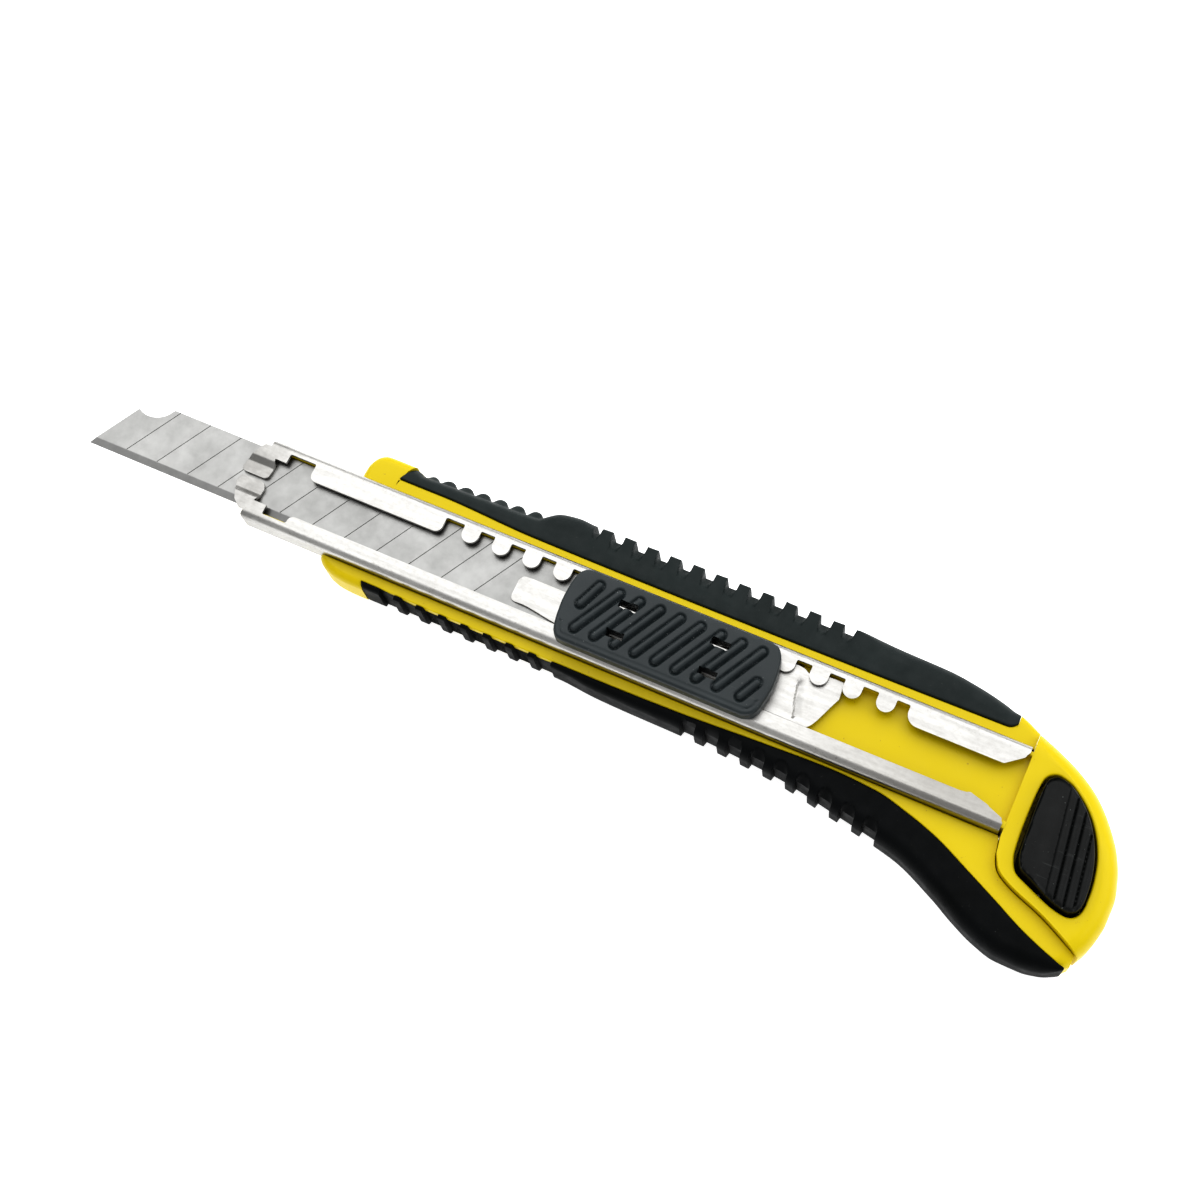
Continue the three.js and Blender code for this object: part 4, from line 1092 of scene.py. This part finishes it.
def cap_section(angle, inner, outer, silhouette):
    """One upright section of the cap, from the button's pocket over the top and round to the base."""
    dx, dy = math.cos(angle), math.sin(angle)

    def from_outline(r):
        return float(distance_to(CAP_MIDDLE[0] + r * dx, CAP_MIDDLE[1] + r * dy, silhouette))

    def top_at(r):
        return cap_high.z - CAP_DROP * float(droop(from_outline(r), CAP_ROUND))

    free = from_outline(outer) < 0.06
    radius = min(CAP_ROUND, (outer - inner) * 0.8)
    edge = 0.0 if free else 0.03
    low_radius = 1.7 if free else 0.15
    flat_from, flat_to = inner + 0.3, outer - radius
    path = [(inner - 0.3, POCKET_FLOOR), (inner - 0.02, POCKET_FLOOR)]
    path += [(inner, POCKET_FLOOR + 0.1), (inner, cap_high.z - 0.35)]
    for t in np.linspace(0.3, math.pi / 2, 4):
        path.append((inner + 0.3 * (1 - math.cos(t)), cap_high.z - 0.3 * (1 - math.sin(t))))
    path += [(flat_from + (flat_to - flat_from) * t, cap_high.z) for t in (0.25, 0.5, 0.75)]
    over = outer - edge - (radius - edge) * (1 - np.sin(np.linspace(0, math.pi / 2, 11)[:-1]))
    path += [(r, top_at(r)) for r in over]
    wall_top = top_at(outer) - edge
    path += [(outer, wall_top + (low_radius - wall_top) * t) for t in (0, 0.3, 0.65)]
    for t in np.linspace(0, math.pi / 2, 8):
        path.append((outer - low_radius * (1 - math.cos(t)), low_radius * (1 - math.sin(t))))
    path += [(outer * t, 0.0) for t in (0.6, 0.3, 0.12)]
    return [(CAP_MIDDLE[0] + r * dx, CAP_MIDDLE[1] + r * dy, z) for r, z in path]


def end_cap():
    front = cap_low.x + 0.01
    upper = [(front, 8.5), (front, 5.8), (front + 0.08, -6.3)]
    bend = [(front + 0.42, -8.55), (53.07, -10.35)]
    seam_line = dense(bend + [(54.8, -11.53), (60.1, -13.64), (65.85, -16.58)])
    silhouette = dense(BUTT)
    loop = upper + seam_line + silhouette[:-1]
    button = dense(BUTTON_HIGH) + dense(BUTTON_LOW)[::-1]
    angles = list(np.linspace(-math.pi, math.pi, 260, endpoint=False))
    for cx, cy in [upper[0], seam_line[0], seam_line[-1], upper[1], upper[2]]:
        a = math.atan2(cy - CAP_MIDDLE[1], cx - CAP_MIDDLE[0])
        angles += [a, a + 0.004, a - 0.004]
    sections = []
    for a in sorted(set(round(a, 5) for a in angles)):
        inner = ray_length(a, button) + POCKET_PLAY + 0.13 * float(smooth(-math.cos(a) / 0.6))
        sections.append(cap_section(a, inner, ray_length(a, loop), silhouette))
    verts, faces = loft_faces(np.swapaxes(sections, 0, 1))
    cuts = [
        ((45, -5.3, -2), (58, 5.3, 1.8)),  # room for the shell's tongue
        ((45, -3.7, tray_low.z - 0.2), (53.8, 3.7, 6.1)),  # socket of the tray
        ((54.75, -3.95, 0), (56.35, -0.05, 1.99)),  # window of the latch
    ]
    mesh = cut_boxes(clean_mesh("cap_blank", verts, faces), cuts)
    return finish_object("butt_cap", mesh, YELLOW, "cap_and_tray", ["end_cap"], 35)


def end_button():
    high, low = curve(BUTTON_HIGH), curve(BUTTON_LOW)
    left, right = BUTTON_HIGH[0][0], BUTTON_HIGH[-1][0]
    x = stations(round_end(left, 1, 12), round_end(right, -1, 12), spans((left + 1, right - 1, 0.08)))
    xx, y = between(x, low, high, eased(0, 1, 0.09, 0.09, 50, 8))
    near = distance_to(xx, y, closed_outline(x, low, high))
    inside = smooth((near - 0.1) / 0.25)
    across = xx + 0.125 * (y + 5) - BARS_START
    from_middle = np.abs(np.mod(across / BAR_PITCH, 1) - 0.5) * 2
    groove = 0.5 * (1 - np.sqrt(1 - 0.96 * from_middle**2))
    plain = 0.34 + 0.25 * smooth((-0.6 - across) / 1.5)
    zt = button_high.z - inside * np.where(across > 0, groove, plain) - droop(near, 0.6)
    shape = grid_faces(xx, y, zt, np.full_like(zt, button_low.z))
    body, slot = "cap_button", "black_plastic"
    return finish_mesh("rocker_button", shape, BUTTON_BLACK, body, ["end_button"], 50)


# ---- Camera, light and floor ----
CAMERA_TARGET = Vector((-7.99, 2.5, 6.6)) * MM
CAMERA_AZIMUTH, CAMERA_ELEVATION, CAMERA_ROLL = 40.47, 69.55, -16.45
CAMERA_DISTANCE = 0.2603
CAMERA_LENS = 58.46
FLOOR_REACH, FLOOR_PLAY = 3.0, 0.00002  # in metres


def camera():
    az, el, roll = (math.radians(v) for v in (CAMERA_AZIMUTH, CAMERA_ELEVATION, CAMERA_ROLL))
    back = Vector((math.sin(az) * math.cos(el), -math.cos(az) * math.cos(el), math.sin(el)))
    right = Vector((math.cos(az), math.sin(az), 0))
    up = back.cross(right)
    turned_right = right * math.cos(roll) + up * math.sin(roll)
    turned_up = up * math.cos(roll) - right * math.sin(roll)
    data = bpy.data.cameras.new("camera")
    data.lens = CAMERA_LENS
    data.sensor_width = 36
    data.clip_start = 0.01
    obj = linked("camera", data)
    turn = Matrix((turned_right, turned_up, back)).transposed().to_4x4()
    obj.matrix_world = Matrix.Translation(CAMERA_TARGET + back * CAMERA_DISTANCE) @ turn
    bpy.context.scene.camera = obj


def area_light(name, place, target, size, power):
    data = bpy.data.lights.new(name, "AREA")
    data.shape = "RECTANGLE"
    data.size, data.size_y = size
    data.energy = power
    obj = linked(name, data)
    obj.location = place
    obj.rotation_mode = "QUATERNION"
    obj.rotation_quaternion = (Vector(target) - Vector(place)).to_track_quat("-Z", "Y")


def studio():
    """A wide soft box over the thumb side, a smaller one behind the butt, and an even pale room."""
    area_light("soft_box", (-0.18, 0.36, 0.62), (0, 0, 0), (1.3, 0.9), 3.9)
    area_light("side_box", (0.62, 0.30, 0.50), (0, 0, 0), (0.6, 0.6), 1.3)
    world = bpy.data.worlds.new("studio")
    world.use_nodes = True
    background = world.node_tree.nodes["Background"]
    background.inputs["Color"].default_value = (1, 1, 1, 1)
    background.inputs["Strength"].default_value = 0.42
    bpy.context.scene.world = world
    view = bpy.context.scene.view_settings
    view.view_transform = "Standard"
    view.look = "High Contrast"
    reach = FLOOR_REACH
    corners = [(-reach, -reach, 0), (reach, -reach, 0), (reach, reach, 0), (-reach, reach, 0)]
    mesh = bpy.data.meshes.new("floor")
    mesh.from_pydata(corners, [], [(0, 1, 2, 3)])
    floor = linked("floor", mesh)
    floor.location.z = -FLOOR_PLAY
    n = Nodes("floor_paper")
    tint = n.blend(n.noise(0.01, 2), 0.86, 0.88)
    n.shader.inputs["Emission Color"].default_value = (1, 1, 1, 1)
    n.shader.inputs["Emission Strength"].default_value = 0.55
    mesh.materials.append(n.set(colour=tint, rough=0.8, specular=0.2))


# ---- Small parts that keep their CAD shape ----
def carried_over():
    finishes = {
        BLADE: ["spare_blade_1", "spare_blade_2", "spare_blade_3"],
        SPRING: ["magazine_spring", "spring_rivet", "carrier_stud", "lock_spring"],
        BLUED: ["button_pin", "button_spring", "cap_latch"],
    }
    for material, nodes in finishes.items():
        for node in nodes:
            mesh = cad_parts[node].data
            mesh.materials.clear()
            mesh.materials.append(material)


camera()
studio()
handle_shell()
upper_grip()
lower_grip()
blade_rail()
snap_off_blade()
blade_carrier()
slider_pad()
magazine_tray()
end_cap()
end_button()
carried_over()
